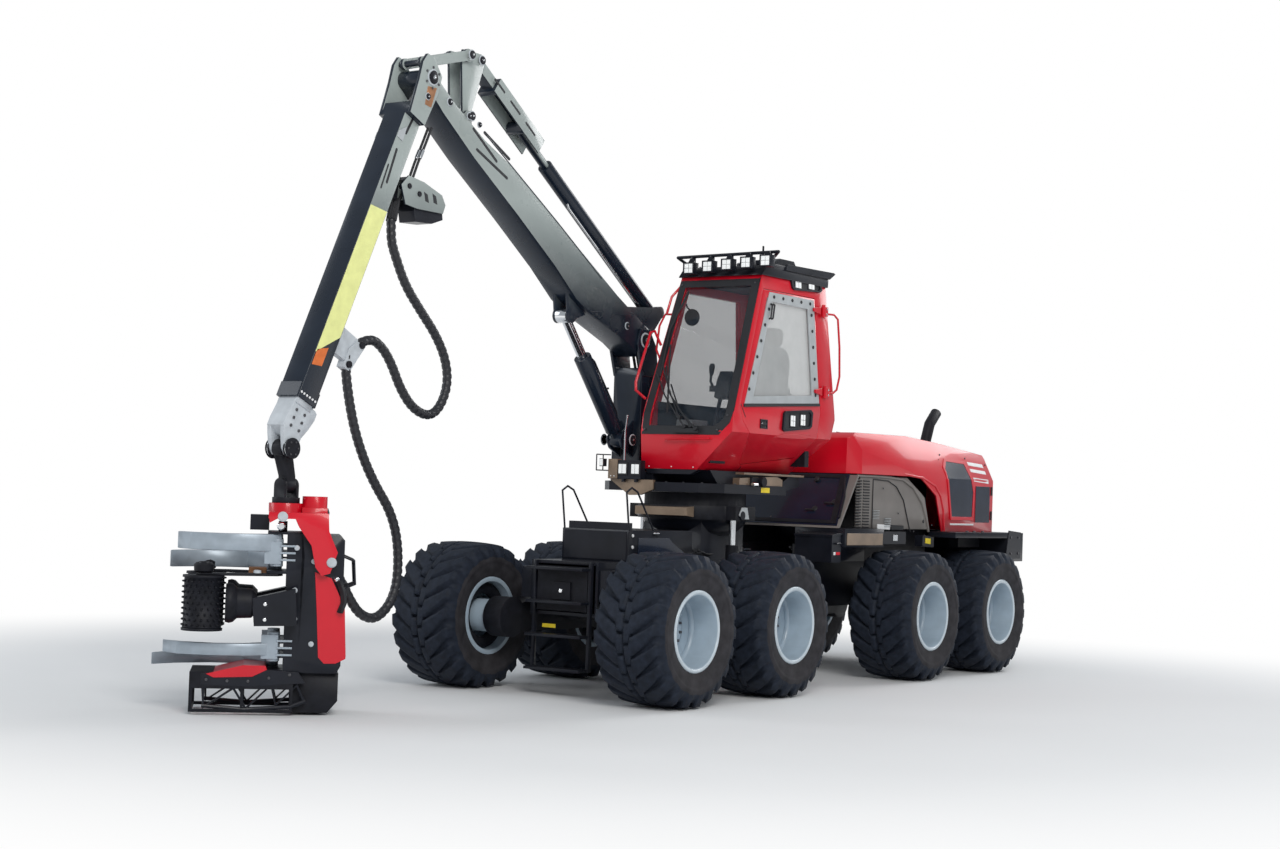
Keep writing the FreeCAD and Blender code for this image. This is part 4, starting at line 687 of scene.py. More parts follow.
def make_wiper_arms():
    """Wiper arms, their pivots and the washer lines."""
    piece = Piece("wiper_arms", "upper", RUBBER)
    blades = (((0.35, 2.5), (0.06, 2.8), (-0.15, 3.12)), ((0.28, 2.49), (0.0, 2.79), (-0.18, 3.02)),
              ((0.21, 2.58), (0.01, 2.88), (-0.09, 3.08)), ((0.41, 2.47), (0.2, 2.66), (0.02, 2.9)))
    for low, bend, top in blades:
        piece.tube(0.008, [on_front(*low, 0.012), on_front(*low, 0.045), on_front(*bend, 0.06),
                           on_front(*top, 0.03)], 8)
        piece.rod(0.02, on_front(*low, 0.002), on_front(*low, 0.05), 16)
    piece.tube(0.011, [on_front(-0.14, 2.98, 0.02), on_front(-0.17, 3.45, 0.018),
                       on_front(-0.06, 3.84, 0.02)], 8)
    piece.tube(0.009, [on_front(0.06, 2.62, 0.03), on_front(-0.1, 3.3, 0.04)], 8)
    piece.prism([(0.16, 2.43), (0.44, 2.43), (0.42, 2.475), (0.18, 2.475)], cab_front(2.45) - 0.002,
                 cab_front(2.45) + 0.03, "X")
    piece.done(0.002)


def make_cab_handles():
    """Grab bars round the cab and the hook under it."""
    piece = Piece("cab_handles", "upper", RED)
    front = cab_front(2.37)
    piece.tube(0.009, [(front, 0.06, 2.365), (front + 0.03, 0.07, 2.365), (front + 0.034, 0.1, 2.366),
                       (front + 0.034, 0.53, 2.376), (front + 0.03, 0.56, 2.377), (front, 0.57, 2.377)])
    piece.tube(0.011, [(-2.46, 0.76, 3.72), (-2.56, 0.79, 3.72), (-2.64, 0.79, 3.68), (-2.69, 0.79, 3.4),
                       (-2.69, 0.8, 3.1), (-2.64, 0.8, 2.96), (-2.56, 0.8, 2.92), (-2.46, 0.78, 2.92)])
    piece.tube(0.014, [(-0.98, -0.25, 3.3), (-0.98, -0.33, 3.44), (-0.92, -0.34, 3.42),
                       (-0.7, -0.34, 2.92), (-0.69, -0.33, 2.84), (-0.76, -0.26, 2.76)])
    piece.tube(0.011, [(-1.16, -0.25, 3.62), (-1.14, -0.32, 3.62), (-1.06, -0.33, 3.5),
                       (-1.02, -0.33, 3.26), (-1.05, -0.31, 3.18), (-1.08, -0.25, 3.16)])
    piece.tube(0.013, [(-1.26, -0.2, 3.93), (-1.2, -0.29, 3.8), (-1.12, -0.29, 3.62)])
    piece.prism([(-1.245, 2.09), (-1.155, 2.09), (-1.165, 2.0), (-1.185, 1.955), (-1.215, 1.955),
                 (-1.235, 2.0)], 0.285, 0.315)
    piece.use(BOLT).rod(0.02, (-1.2, 0.278, 1.985), (-1.2, 0.322, 1.985), 16)
    piece.use(WHITE).bolts([(cab_front(2.1) - 0.002, y, 2.105) for y in (-0.15, 0.11, 0.36)], (1, 0, 0),
                            0.007, 0.006)
    piece.done(0.003, "red")


def make_cab_underside():
    """Strips and the tinted plate along the cab's lower edge."""
    piece = Piece("cab_underside_strip", "upper", BLACK)
    piece.prism([(-0.2, 2.082), (0.42, 2.082), (0.32, 2.035), (-0.17, 2.035)], -0.78, -0.705, "X")
    piece.prism([(-2.38, 2.083), (-1.22, 2.083), (-1.3, 2.045), (-2.3, 2.045)], 0.36, 0.4)
    piece.use(BRONZE).prism(rectangle(-2.45, -1.3, 2.075, 2.055), 0.4, 0.56)
    piece.done()


def make_cab_seams():
    """Seams between the cab's panels."""
    piece = Piece("cab_seams", "upper", RUBBER)
    path = [(-1.405, 2.09), (-1.405, 2.13), (-0.9, 2.6), (-0.815, 2.715)]
    piece.tube(0.004, along(path, on_door, 0.001), 8)
    piece.tube(0.006, [on_front(cab_side(z) - 0.012, z, 0.001) for z in (2.64, 3.1, 3.6, 3.96)], 8)
    piece.done(0)


def make_roof_fittings():
    """Boxes, antenna and beacon base on the roof."""
    piece = Piece("roof_fittings", "upper", BLACK)
    piece.prism([(-1.62, 4.075), (-1.66, 4.135), (-2.58, 4.15), (-2.61, 4.138), (-2.5, 4.075)], 0.56,
                 0.765)
    piece.prism([(-1.6, 4.12), (-1.6, 4.17), (-1.68, 4.2), (-1.95, 4.2), (-2.02, 4.12)], 0.42, 0.66)
    piece.box((-1.56, -1.46), (0.5, 0.62), (4.12, 4.165))
    piece.rod(0.01, (-1.52, 0.56, 4.16), (-1.52, 0.56, 4.31), 12)
    piece.rod(0.045, (-1.85, 0.1, 4.12), (-1.85, 0.1, 4.19), 24)
    piece.use(LAMP).rod(0.036, (-1.85, 0.1, 4.19), (-1.85, 0.1, 4.2), 24)
    piece.use(BOLT).bolts([(x, y, 4.12) for x in (-1.5, -1.75, -2.05, -2.35) for y in (-0.16, 0.34)],
                          (0, 0, 1))
    piece.done(0.004)


def lamp_face(piece, y, z, front):
    """Lens, bezel, cross bars, hanger and cooling fins of one lamp, from the middle of its lower edge."""
    lens = rectangle(y - 0.049, y + 0.049, z + 0.012, z + 0.103)
    ring = rectangle(y - 0.062, y + 0.062, z, z + 0.115)
    piece.use(LAMP).prism(lens, front, front + 0.006, "X")
    piece.use(BLACK).band(ring, lens, lambda a, b, depth: (depth, a, b), front - 0.004, front + 0.012)
    upright = rectangle(y - 0.0015, y + 0.0015, z + 0.012, z + 0.103)
    level = rectangle(y - 0.049, y + 0.049, z + 0.056, z + 0.059)
    hanger = [(y - 0.04, z + 0.115), (y + 0.04, z + 0.115), (y + 0.016, z + 0.155),
              (y - 0.016, z + 0.155)]
    piece.prisms([(RUBBER, upright, front + 0.004, front + 0.0075),
                  (RUBBER, level, front + 0.004, front + 0.0075),
                  (BLACK, hanger, front - 0.055, front - 0.04)], "X")
    for low in (y - 0.048 + 0.022 * fin for fin in range(5)):
        piece.box((front - 0.1, front - 0.082), (low, low + 0.006), (z + 0.01, z + 0.105))


def make_roof_lamp_faces():
    """Faces of the five CAD lamps, which rise a little from right to left."""
    piece = Piece("roof_lamp_faces", "upper", LAMP)
    for k in range(5):
        lamp_face(piece, CAB_RIGHT + 0.194 + 0.22 * k, 4.01 + 0.011 * k, -1.12)
    piece.done(0.002)


DOOR_RING_OUT = [(-0.875, 2.715), (-1.365, 3.835), (-2.215, 3.835), (-2.29, 2.795)]
DOOR_RING_IN = [(-1.035, 2.8), (-1.41, 3.745), (-2.095, 3.735), (-2.15, 2.875)]


def make_door_frame():
    """Pale frame round the door's window, its studs, sill and clips."""
    piece = Piece("door_window_frame", "door", GREY_PANEL)
    piece.use(PALE_FRAME).band(DOOR_RING_OUT, DOOR_RING_IN, on_door, -0.006, 0.008)
    sill = [(-0.862, 2.69), (-0.862, 2.722), (-2.3, 2.802), (-2.305, 2.775)]
    piece.use(RUBBER).slab(sill, -0.004, 0.012)
    spots = [(-0.955 - 0.385 * k / 5, 2.865 + 0.8 * k / 5) for k in range(6)]
    spots += [(-1.44 - 0.7 * k / 4, 3.793) for k in range(5)]
    spots += [(-2.163 - 0.052 * k / 5, 3.68 - 0.8 * k / 5) for k in range(6)]
    for x, z in spots:
        piece.lathe([(0, 0.017), (0.006, 0.017), (0.01, 0.012)], on_door(x, z, 0.007), on_door(x, z, 1.0),
                     16)
    for x in (-1.375, -1.415):
        piece.tube(0.01, [on_door(x, 3.72, 0.01), on_door(x, 3.71, 0.03), on_door(x + 0.035, 3.58,
                                                                                     0.03),
                           on_door(x + 0.035, 3.57, 0.01)], 8)
    piece.done(0.002, "light_grey")


def make_door_handle():
    """Handle in its recess and the ledge below it."""
    piece = Piece("door_handle", "door", RUBBER)
    piece.use(BLACK).band(rectangle(-1.3, -1.17, 2.5, 2.59), rectangle(-1.285, -1.185, 2.512, 2.578),
                           on_door, 0.0, 0.01)
    piece.use(RUBBER).slab(rectangle(-1.288, -1.182, 2.51, 2.58), -0.004, 0.004)
    piece.slab(rectangle(-1.27, -1.205, 2.535, 2.56), 0.0, 0.016)
    piece.use(CHROME).rod(0.008, on_door(-1.2, 2.55, 0.0), on_door(-1.2, 2.55, 0.014), 12)
    ledge = [(-1.45, 2.425), (-1.58, 2.463), (-2.14, 2.48), (-2.08, 2.43)]
    piece.use(RED).slab(ledge, -0.004, 0.01)
    piece.done()


def make_side_lamps():
    """Lamp pairs on the door and on the roof's corner."""
    low = [(-1.59, 2.668), (-1.575, 2.505), (-1.61, 2.49), (-2.09, 2.535), (-2.135, 2.56),
           (-2.15, 2.7), (-2.11, 2.728), (-1.62, 2.69)]
    high = [(-1.745, 4.03), (-1.79, 3.915), (-1.83, 3.9), (-2.33, 3.925), (-2.375, 3.95),
            (-2.345, 4.06), (-2.3, 4.085), (-1.79, 4.055)]
    lamp_pair("door_lamps", "door", low, ((-1.765, 2.6), (-1.96, 2.618)), 0.04, 0.052)
    lamp_pair("corner_lamps", "upper", high, ((-1.905, 3.985), (-2.165, 3.998)), 0.052, 0.056)


def make_door_hinges():
    """Hinge straps on the door and posts on the cab."""
    straps, posts = Piece("door_hinge_straps", "door", RED), Piece("door_hinge_posts", "upper", RED)
    for z in (3.735, 2.915):
        low = cab_side(z)
        straps.prism([(-2.18, z - 0.012), (-2.18, z + 0.022), (-2.31, z + 0.042), (-2.31, z - 0.032)],
                     low + 0.014, low + 0.034)
        posts.rod(0.018, (-2.375, low + 0.026, z - 0.06), (-2.375, low + 0.026, z + 0.07), 16)
        posts.prism([(-2.375, z - 0.04), (-2.375, z + 0.05), (-2.46, z + 0.052), (-2.46, z - 0.042)],
                    low - 0.05, low + 0.034)
        posts.use(CHROME).bolts([(-2.43, low + 0.034, z + dz) for dz in (-0.022, 0.03)], (0, 1, 0))
        posts.use(RED)
    straps.done(0.003, "red")
    posts.done(0.003, "red")


CUSHION_POWER, CUSHION_CROWN = 4.0, 0.12


def cushion(name, place, size_xyz, material):
    """Crowned pad: a box whose sides swell and whose corners round off, with a sewn channel across it."""
    mesh = bmesh.new()
    bmesh.ops.create_cube(mesh, size=2)
    bmesh.ops.subdivide_edges(mesh, edges=mesh.edges, cuts=11, use_grid_fill=True)
    for vertex in mesh.verts:
        x, y, z = vertex.co
        length = sum(abs(part) ** CUSHION_POWER for part in vertex.co) ** (1 / CUSHION_POWER)
        spread = max(abs(x), abs(y), abs(z)) / length
        point = Vector((x, y, z)) * spread
        swell = CUSHION_CROWN * (1 - min(1, point.x ** 2)) * (1 - min(1, point.y ** 2))
        groove = 0.1 * math.exp(-((abs(point.y) - 0.62) / 0.05) ** 2) if z > 0 else 0
        point.z += (swell - groove) * (1 if z > 0 else 0.2)
        vertex.co = Vector([part * whole / 2 for part, whole in zip(point, size_xyz)])
    for face in mesh.faces:
        face.smooth = True
    data = mesh_data(name, mesh, material)
    data.transform(TO_ROW @ place)
    item = add_item(name, data)
    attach(item, "upper")
    return item


def make_seat():
    """Padded seat on its frame, with arm rests and levers."""
    parts = [cushion("seat_cushion", at(-1.8, 0.28, 2.64, 4), (0.52, 0.5, 0.15), SEAT),
             cushion("seat_back", at(-2.13, 0.28, 3.02, 97), (0.7, 0.46, 0.15), SEAT),
             cushion("seat_headrest", at(-2.16, 0.28, 3.46, 97), (0.2, 0.28, 0.1), SEAT_BROWN)]
    piece = Piece("seat_frame", "upper", CAST)
    piece.box((-2.06, -1.62), (0.06, 0.36), (2.15, 2.22))
    piece.prism([(-2.02, 2.22), (-1.66, 2.22), (-1.6, 2.55), (-2.05, 2.55)], 0.08, 0.48)
    for y, stem in ((-0.02, 0.2), (0.58, 0.36)):
        piece.tube(0.016, [(-2.14, y, 2.66), (-2.1, y, 2.88), (-1.98, y, 2.9)])
        piece.use(SEAT).box((-2.02, -1.58), (y - 0.04, y + 0.04), (2.88, 2.94)).use(CAST)
        piece.tube(0.014, [(-1.6, y, 2.92), (-1.54, y, 2.98), (-1.55, y, 3.06)])
        piece.use(RUBBER).lathe([(0, 0.016), (0.04, 0.026), (0.09, 0.03), (0.12, 0.018)], (-1.55, y, 3.04),
                                 (-1.57, y, 3.2), 16).use(CAST)
        piece.tube(0.012, [(-2.17, stem, 3.34), (-2.18, stem, 3.42)])
    piece.done(0.006, "seat", ["operator_seat"])
    for part in parts:
        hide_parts("operator_seat")


def make_cab_interior():
    """Column, screen, consoles and linings seen through the glass."""
    piece = Piece("cab_interior", "upper", RUBBER)
    piece.tube(0.02, [(-1.02, 0.34, 2.16), (-1.1, 0.34, 2.6), (-1.2, 0.34, 2.86)])
    piece.prism([(-1.16, 2.8), (-1.2, 2.96), (-1.26, 3.06), (-1.3, 3.05), (-1.27, 2.92), (-1.25, 2.78)],
                 0.27, 0.41)
    piece.use(PALE_FRAME).prism([(-1.1, 2.15), (-1.45, 2.15), (-1.45, 2.58), (-1.18, 2.58)], -0.17, 0.02)
    piece.use(BLUE).prism([(-1.12, 2.6), (-1.16, 2.655), (-1.4, 2.655), (-1.44, 2.6)], 0.42, 0.66)
    piece.use(CAST).box((-2.36, -2.28), (-0.16, 0.66), (2.16, 2.88))
    piece.box((-1.04, -0.78), (-0.16, 0.5), (2.15, 2.3))
    piece.use(RUBBER).tube(0.008, [(-1.18, -0.1, 3.72), (-1.14, -0.06, 3.68), (-1.13, 0.0, 3.64)])
    piece.lathe([(0, 0.05), (0.012, 0.085), (0.03, 0.075)], (-1.12, 0.02, 3.58), (-1.02, 0.03, 3.575), 20)
    piece.box((-1.45, -1.39), (0.5, 0.7), (3.15, 3.36))
    piece.use(CAST).box((-2.28, -0.86), (-0.185, -0.172), (2.16, 2.74))
    piece.use(RUBBER).tube(0.012, [(-1.42, 0.62, 3.16), (-1.36, 0.66, 2.9), (-1.3, 0.66, 2.7)])
    piece.box((-2.3, -1.35), (-0.15, 0.62), (3.925, 3.955))
    piece.done(0.004)


# ---------------------------------------------------------------- slewing platform and front body
def corner_lamps(piece):
    """Two square lamps in a black box on the platform's front right corner, and a small one beside them."""
    for y in (-0.362, -0.212):
        piece.prisms([(RUBBER, rectangle(y - 0.055, y + 0.055, 2.01, 2.13), -0.568, -0.556),
                      (LAMP, rectangle(y - 0.042, y + 0.042, 2.026, 2.116), -0.56, -0.548),
                      (RUBBER, rectangle(y - 0.0015, y + 0.0015, 2.026, 2.116), -0.549, -0.5465)], "X")
        piece.use(BLACK).box((-0.6, -0.56), (y - 0.012, y + 0.012), (1.945, 1.975))
    for z in (2.052, 2.205):
        piece.tube(0.006, [(-0.6, -0.535, z), (-0.55, -0.62, z), (-0.48, -0.62, z)], 8)
    for x, y in ((-0.48, -0.62), (-0.56, -0.6)):
        piece.tube(0.006, [(x, y, 2.05), (x, y, 2.205)], 8)
    piece.box((-0.56, -0.5), (-0.6, -0.555), (2.09, 2.165))
    piece.use(LAMP).box((-0.5, -0.492), (-0.597, -0.558), (2.096, 2.16))


def make_platform():
    """Slewing platform with its lamps, bolts and fittings."""
    piece = Piece("platform_frame", "upper", BLACK)
    piece.prism([(-2.1, -0.8), (-0.88, -0.8), (-0.62, -0.56), (-0.62, 0.0), (-0.74, 0.4), (-0.95, 0.56),
                 (-2.1, 0.56)], 1.8655, 1.955, "Z")
    piece.prism([(-2.2, 1.955), (-0.98, 1.955), (-0.84, 2.083), (-2.2, 2.083)], -0.1, 0.46)
    piece.box((-1.3, -0.72), (-0.44, -0.12), (1.955, 2.05))
    piece.prism([(-2.1, 1.9), (-2.42, 1.96), (-2.42, 2.05), (-2.2, 2.05), (-2.1, 2.0)], 0.05, 0.52)
    piece.use(BRONZE).prism([(-1.25, 1.955), (-1.25, 2.02), (-1.95, 2.05), (-2.06, 2.02), (-2.06, 1.955)],
                             0.462, 0.54)
    piece.prism(rectangle(-0.62, -0.558, -0.535, -0.425), 1.975, 2.165, "Z")
    skirt = [(-0.545, 1.972), (-0.03, 1.972), (-0.03, 1.88), (-0.18, 1.825), (-0.31, 1.82)]
    piece.prism(skirt, -0.64, -0.6, "X")
    piece.use(BLACK).box((-0.64, -0.565), (-0.425, -0.155), (1.975, 2.155))
    corner_lamps(piece)
    piece.use(WHITE).bolts([(-0.557, -0.5, 2.0), (-0.557, -0.46, 2.0)], (1, 0, 0), 0.007, 0.005)
    piece.use(YELLOW).box((-1.78, -1.62), (0.56, 0.563), (1.885, 1.935))
    piece.use(BOLT).bolts([(-1.3 + a, b, 1.955) for a, b in circle(18, 0.52)], (0, 0, 1), 0.012, 0.01)
    piece.use(CHROME).rod(0.022, (-1.5, 0.585, 1.96), (-1.42, 0.585, 1.96), 16)
    piece.use(CAST).rod(0.05, (-1.62, 0.48, 1.99), (-1.62, 0.6, 1.99), 20)
    piece.box((-1.58, -1.44), (0.46, 0.56), (1.955, 2.03))
    piece.done(0.004, replaces=["slew_platform"])


def make_slew_dish():
    """Dish under the platform, with a cylinder on each side."""
    piece = Piece("slew_dish", "front_body", BLACK)
    piece.lathe([(0, 0.2), (0.02, 0.3), (0.08, 0.42), (0.16, 0.5), (0.2, 0.51)], (-1.3, 0, 1.415),
                (-1.3, 0, 2), 48)
    piece.use(BRONZE).prism([(-0.92, 1.62), (-0.7, 1.64), (-0.7, 1.72), (-0.92, 1.74)], -0.3, 0.3)
    for side in (1, -1):
        y = side * 0.52
        piece.use(PALE_FRAME).prism([(-1.3, 1.622), (-1.17, 1.622), (-1.12, 1.66), (-1.17, 1.735),
                                     (-1.26, 1.735)], side * 0.622, side * 0.634)
        piece.use(CHROME).rod(0.034, (-1.18, y, 1.36), (-1.18, y, 1.612), 24)
        piece.use(CAST).rod(0.06, (-1.18, y, 1.12), (-1.18, y, 1.37), 24)
        piece.rod(0.045, (-1.18, y - 0.055, 1.655), (-1.18, y + 0.118 * side, 1.655), 20)
    piece.done()


def random_hoses(name, body, ends, count, radius, sag, seed, material):
    """Bundle of hydraulic hoses between two rough spots, each with its own small bow."""
    rng = random.Random(seed)
    piece = Piece(name, body, material)
    for _ in range(count):
        start, end = (Vector([part + rng.uniform(-0.05, 0.05) for part in point]) for point in ends)
        drop = Vector((rng.uniform(-0.04, 0.04), rng.uniform(-0.04, 0.04), -sag * rng.uniform(0.5, 1.2)))
        path = [start.lerp(end, k / 10) + drop * math.sin(math.pi * k / 10) for k in range(11)]
        piece.tube(radius, path, 8)
        piece.use(CHROME).rod(radius * 1.5, path[0], path[1].lerp(path[0], 0.4), 8).use(material)
    piece.done(0)


def make_front_box():
    """Panels, labels, bolts and brackets of the front box."""
    piece = Piece("front_box_details", "front_body", BLACK)
    piece.box((0.29, 0.345), (-0.31, 0.37), (1.5, 1.565))
    piece.prism(rectangle(0.348, 0.354, 1.225, 1.485), -0.352, 0.352)
    piece.box((0.3, 0.352), (0.37, 0.383), (1.22, 1.49))
    piece.use(PANEL_DARK).prism([(0.2, 1.23), (0.2, 1.43), (-0.3, 1.43), (-0.37, 1.38), (-0.55, 1.3),
                                 (-0.55, 1.23)], 0.375, 0.382)
    piece.use(WHITE).bolts([(0.3, 0.383, z) for z in (1.345, 1.45)], (0, 1, 0), 0.017, 0.009)
    piece.use(CHROME).tube(0.012, [(-0.02, 0.39, 1.47), (-0.1, 0.4, 1.47)], 8)
    piece.use(YELLOW).box((0.8, 0.804), (-0.23, -0.08), (0.6, 0.635))
    piece.use(BOLT).bolts([(0.801, y, z) for y in (-0.26, 0.26) for z in (0.8, 0.95, 1.1)], (1, 0, 0),
                           0.013, 0.01)
    piece.use(CAST).box((0.8, 0.83), (-0.28, 0.28), (0.76, 1.16))
    piece.box((0.83, 0.845), (-0.1, 0.1), (0.86, 1.02))
    for side in (1, -1):
        piece.use(BLACK).box((0.5, 0.78), (side * 0.376, side * 0.5), (0.86, 1.14))
        for x in (0.54, 0.74):
            piece.use(BOLT).bolts([(x, side * 0.5, z) for z in (0.9, 1.1)], (0, side, 0), 0.013, 0.01)
    piece.use(CHROME).bolts([(0.846, 0, 0.94)], (1, 0, 0), 0.022, 0.012)
    piece.done(0.004)


def make_steering_cylinders():
    """Two cylinders across the frame joint."""
    piece = Piece("steering_cylinders", "front_body", CAST)
    for side in (1, -1):
        piece.rod(0.05, (-1.35, side * 0.25, 1.3), (-1.8, side * 0.23, 1.3), 20)
        piece.use(CHROME).rod(0.026, (-1.8, side * 0.23, 1.3), (-2.0, side * 0.21, 1.3), 16).use(CAST)
    piece.done()


def make_frame_hoses():
    """Hose bundles between the frames and under the platform."""
    random_hoses("frame_hoses", "front_body", ((-1.55, 0.25, 1.42), (-0.85, 0.3, 1.3)), 9, 0.013, 0.08, 3,
                  RUBBER)
    random_hoses("slew_hoses", "front_body", ((-1.7, 0.1, 1.45), (-1.95, 0.05, 1.27)), 7, 0.014, 0.04, 5,
                  RUBBER)


HUB_HEIGHT, PIVOT_HEIGHT = 0.67, 0.76


def make_axle_ends():
    """Wheel hubs' caps at the ends of the bogies and the bogie pivots' covers."""
    hub = [(0, 0.15), (0.02, 0.15), (0.05, 0.125), (0.065, 0.125)]
    pivot = [(0, 0.165), (0.03, 0.165), (0.04, 0.1), (0.05, 0.1)]
    for end, centre, reach in (("front", 0.0, 0.821), ("rear", -4.464, 0.8295)):
        piece = Piece(f"{end}_axle_ends", f"{end}_body", CAST)
        for side in (1, -1):
            for x in (centre + reach, centre - reach):
                piece.lathe(hub, (x, side * 0.745, HUB_HEIGHT), (x, side, HUB_HEIGHT), 32)
            piece.lathe(pivot, (centre, side * 0.755, PIVOT_HEIGHT), (centre, side, PIVOT_HEIGHT), 32)
            cover = [(centre + a, side * 0.785, PIVOT_HEIGHT + b) for a, b in circle(10, 0.14)]
            piece.bolts(cover, (0, side, 0), 0.012, 0.01)
        piece.done()


# ---------------------------------------------------------------- hood, panels, rear
def hood_side(x):
    """Y of the hood's skin at a length."""
    return 0.84 + 0.12 * min(1.0, max(0.0, (-3.15 - x) / 1.17))


def panel_side(x):
    return hood_side(x) - 0.03


def skin(face_of, side):
    """Placement of flat outlines on a skin: the side is 1 for left and -1 for right."""
    def place(x, z, depth):
        return (x, side * (face_of(x) - 0.23 / 0.48 * max(0.0, z - 2.12) + depth), z)
    return place


def along(path, place, depth):
    return [place(x, z, depth) for x, z in path]


HOOD_WINDOW = [(-4.99, 2.34), (-5.48, 2.32), (-5.515, 2.13), (-5.58, 1.97), (-5.56, 1.66), (-4.99, 1.66),
               (-4.885, 2.11), (-4.89, 2.25)]
HOOD_CREASE = [(-3.95, 2.14), (-4.3, 2.11), (-4.6, 2.03), (-4.74, 1.92),
               (-4.82, 1.76), (-4.85, 1.54)]
ARCH_RIB = [(-3.12, 2.1), (-3.65, 2.1), (-3.97, 2.08), (-4.17, 2.0), (-4.34, 1.85), (-4.45, 1.69),
            (-4.53, 1.53)]
DOOR_SEAL = [(-3.41, 2.07), (-3.69, 2.06), (-3.85, 2.0), (-3.99, 1.86), (-4.08, 1.65), (-4.13, 1.53)]


def shrink(outline, share):
    centre = [sum(values) / len(outline) for values in zip(*outline)]
    return [(centre[0] + (a - centre[0]) * share, centre[1] + (b - centre[1]) * share) for a, b in outline]


def hood_side_marks(piece, side):
    """Window, stripes, crease and bolts on one side of the hood."""
    place = skin(hood_side, side)
    under = [(-5.0, 1.67), (-5.55, 1.67), (-5.57, 1.97), (-5.515, 2.12), (-4.89, 2.12)]
    over = [(-4.89, 2.12), (-5.515, 2.12), (-5.485, 2.31), (-5.0, 2.33), (-4.9, 2.25)]
    piece.slabs(place, [(PANEL_DARK, outline, -0.01, 0.005) for outline in (under, over)])
    piece.use(RED).band(HOOD_WINDOW, shrink(HOOD_WINDOW, 0.9), place, -0.004, 0.01)
    for low, high in ((2.275, 2.335), (2.2, 2.258), (2.095, 2.16)):
        stripe = [(-5.57, low + 0.008), (-5.95, low - 0.012), (-5.95, high - 0.03), (-5.57, high - 0.012)]
        piece.use(WHITE).slab(stripe, -0.004, 0.0035, place)
    piece.slab(rectangle(-4.99, -5.58, 1.605, 1.625), -0.004, 0.004, place)
    piece.use(PANEL_DARK).slab(rectangle(-5.99, -5.62, 1.64, 2.05), -0.004, 0.0035, place)
    piece.use(RED).tube(0.014, along(HOOD_CREASE, place, -0.002), 12)
    piece.use(RUBBER).tube(0.005, along([(-4.86, 1.5), (-4.86, 2.33)], place, 0.0), 8)
    spots = [(-4.93, 2.38), (-5.55, 2.36), (-6.02, 2.3), (-6.02, 1.7), (-3.22, 2.3)]
    piece.use(BOLT).bolts(along(spots, place, 0.0), (0, side, 0), 0.012, 0.008)
    for z in (1.72, 2.0):
        piece.use(RUBBER).slab(rectangle(-6.045, -6.015, z - 0.05, z + 0.05), -0.004, 0.012, place)


def hood_grille(piece):
    """Slats in a frame on the hood's rear face, and a lamp on each side of it."""
    piece.use(RUBBER).prism(rectangle(-0.62, 0.62, 1.68, 2.2), -6.1, -6.088, "X")
    for z in (1.7 + 0.023 * k for k in range(22)):
        slat = [(-6.09, z), (-6.108, z - 0.01), (-6.108, z - 0.004), (-6.09, z + 0.01)]
        piece.use(CAST).prism(slat, -0.6, 0.6)
    ring = rectangle(-0.66, 0.66, 1.645, 2.235)
    piece.use(RED).band(ring, shrink(ring, 0.94), lambda a, b, depth: (-depth, a, b), 6.075, 6.108)
    for y in (-0.78, 0.78):
        piece.prisms([(BLACK, rectangle(y - 0.07, y + 0.07, 1.66, 1.8), -6.108, -6.08),
                      (LAMP, rectangle(y - 0.05, y + 0.05, 1.69, 1.77), -6.112, -6.104)], "X")


def make_hood_marks():
    """Everything added to the hood."""
    piece = Piece("hood_marks", "hood_lid", RED)
    for side in (1, -1):
        hood_side_marks(piece, side)
    hood_grille(piece)
    for y in (-0.5, 0.5):
        piece.use(RUBBER).tube(0.006, [(-3.2, y, 2.552), (-5.9, y, 2.44)], 8)
    piece.done(0.002, "red")


def louvres(piece, place):
    """Two columns of dark gaps with a pale lip over each."""
    for x in (-3.09, -3.235):
        for z in (1.56 + 0.03 * row for row in range(17)):
            piece.use(RUBBER).slab(rectangle(x - 0.115, x, z, z + 0.015), -0.006, 0.002, place)
            piece.use(GREY_PANEL).slab(rectangle(x - 0.12, x + 0.004, z + 0.013, z + 0.019), -0.004, 0.01,
                                        place)


def panel_side_marks(piece, side):
    """Arch rib, door seal, louvres, latches and bolts on one side panel."""
    place = skin(panel_side, side)
    piece.use(GREY_PANEL).tube(0.016, along(ARCH_RIB, place, -0.002), 12)
    piece.use(RUBBER).tube(0.006, along(DOOR_SEAL, place, 0.002), 8)
    piece.tube(0.005, along([(-3.41, 1.53), (-3.41, 2.07)], place, 0.002), 8)
    louvres(piece, place)
    for first, last in ((-3.32, -3.13), (-3.78, -3.42)):
        piece.use(RUBBER).slab(rectangle(last, first, 2.085, 2.108), -0.004, 0.004, place)
    for x, low in ((-3.47, 1.655), (-3.69, 1.575)):
        for z in (low + 0.017 * fin for fin in range(6)):
            piece.use(PALE_FRAME).slab(rectangle(x - 0.055, x + 0.055, z, z + 0.005), -0.004, 0.014, place)
    piece.slabs(place, [
        (WHITE, [(-3.51, 1.6), (-3.74, 1.595), (-3.74, 1.545), (-3.51, 1.55)], -0.004, 0.005),
        (RUBBER, [(-3.77, 1.595), (-4.0, 1.59), (-4.0, 1.545), (-3.77, 1.545)], -0.004, 0.005)])
    x, y, z = place(-4.4, 1.64, 0.0)
    piece.lathe([(-0.01, 0.02), (0.003, 0.02), (0.006, 0.014)], (x, y, z), (x, side * 2, z), 20)
    spots = [(-3.12, 1.53), (-3.38, 1.52), (-4.2, 1.53), (-4.6, 1.6), (-4.62, 1.95), (-3.6, 1.98),
             (-3.9, 1.72)]
    piece.use(BOLT).bolts(along(spots, place, 0.0), (0, side, 0), 0.01, 0.007)


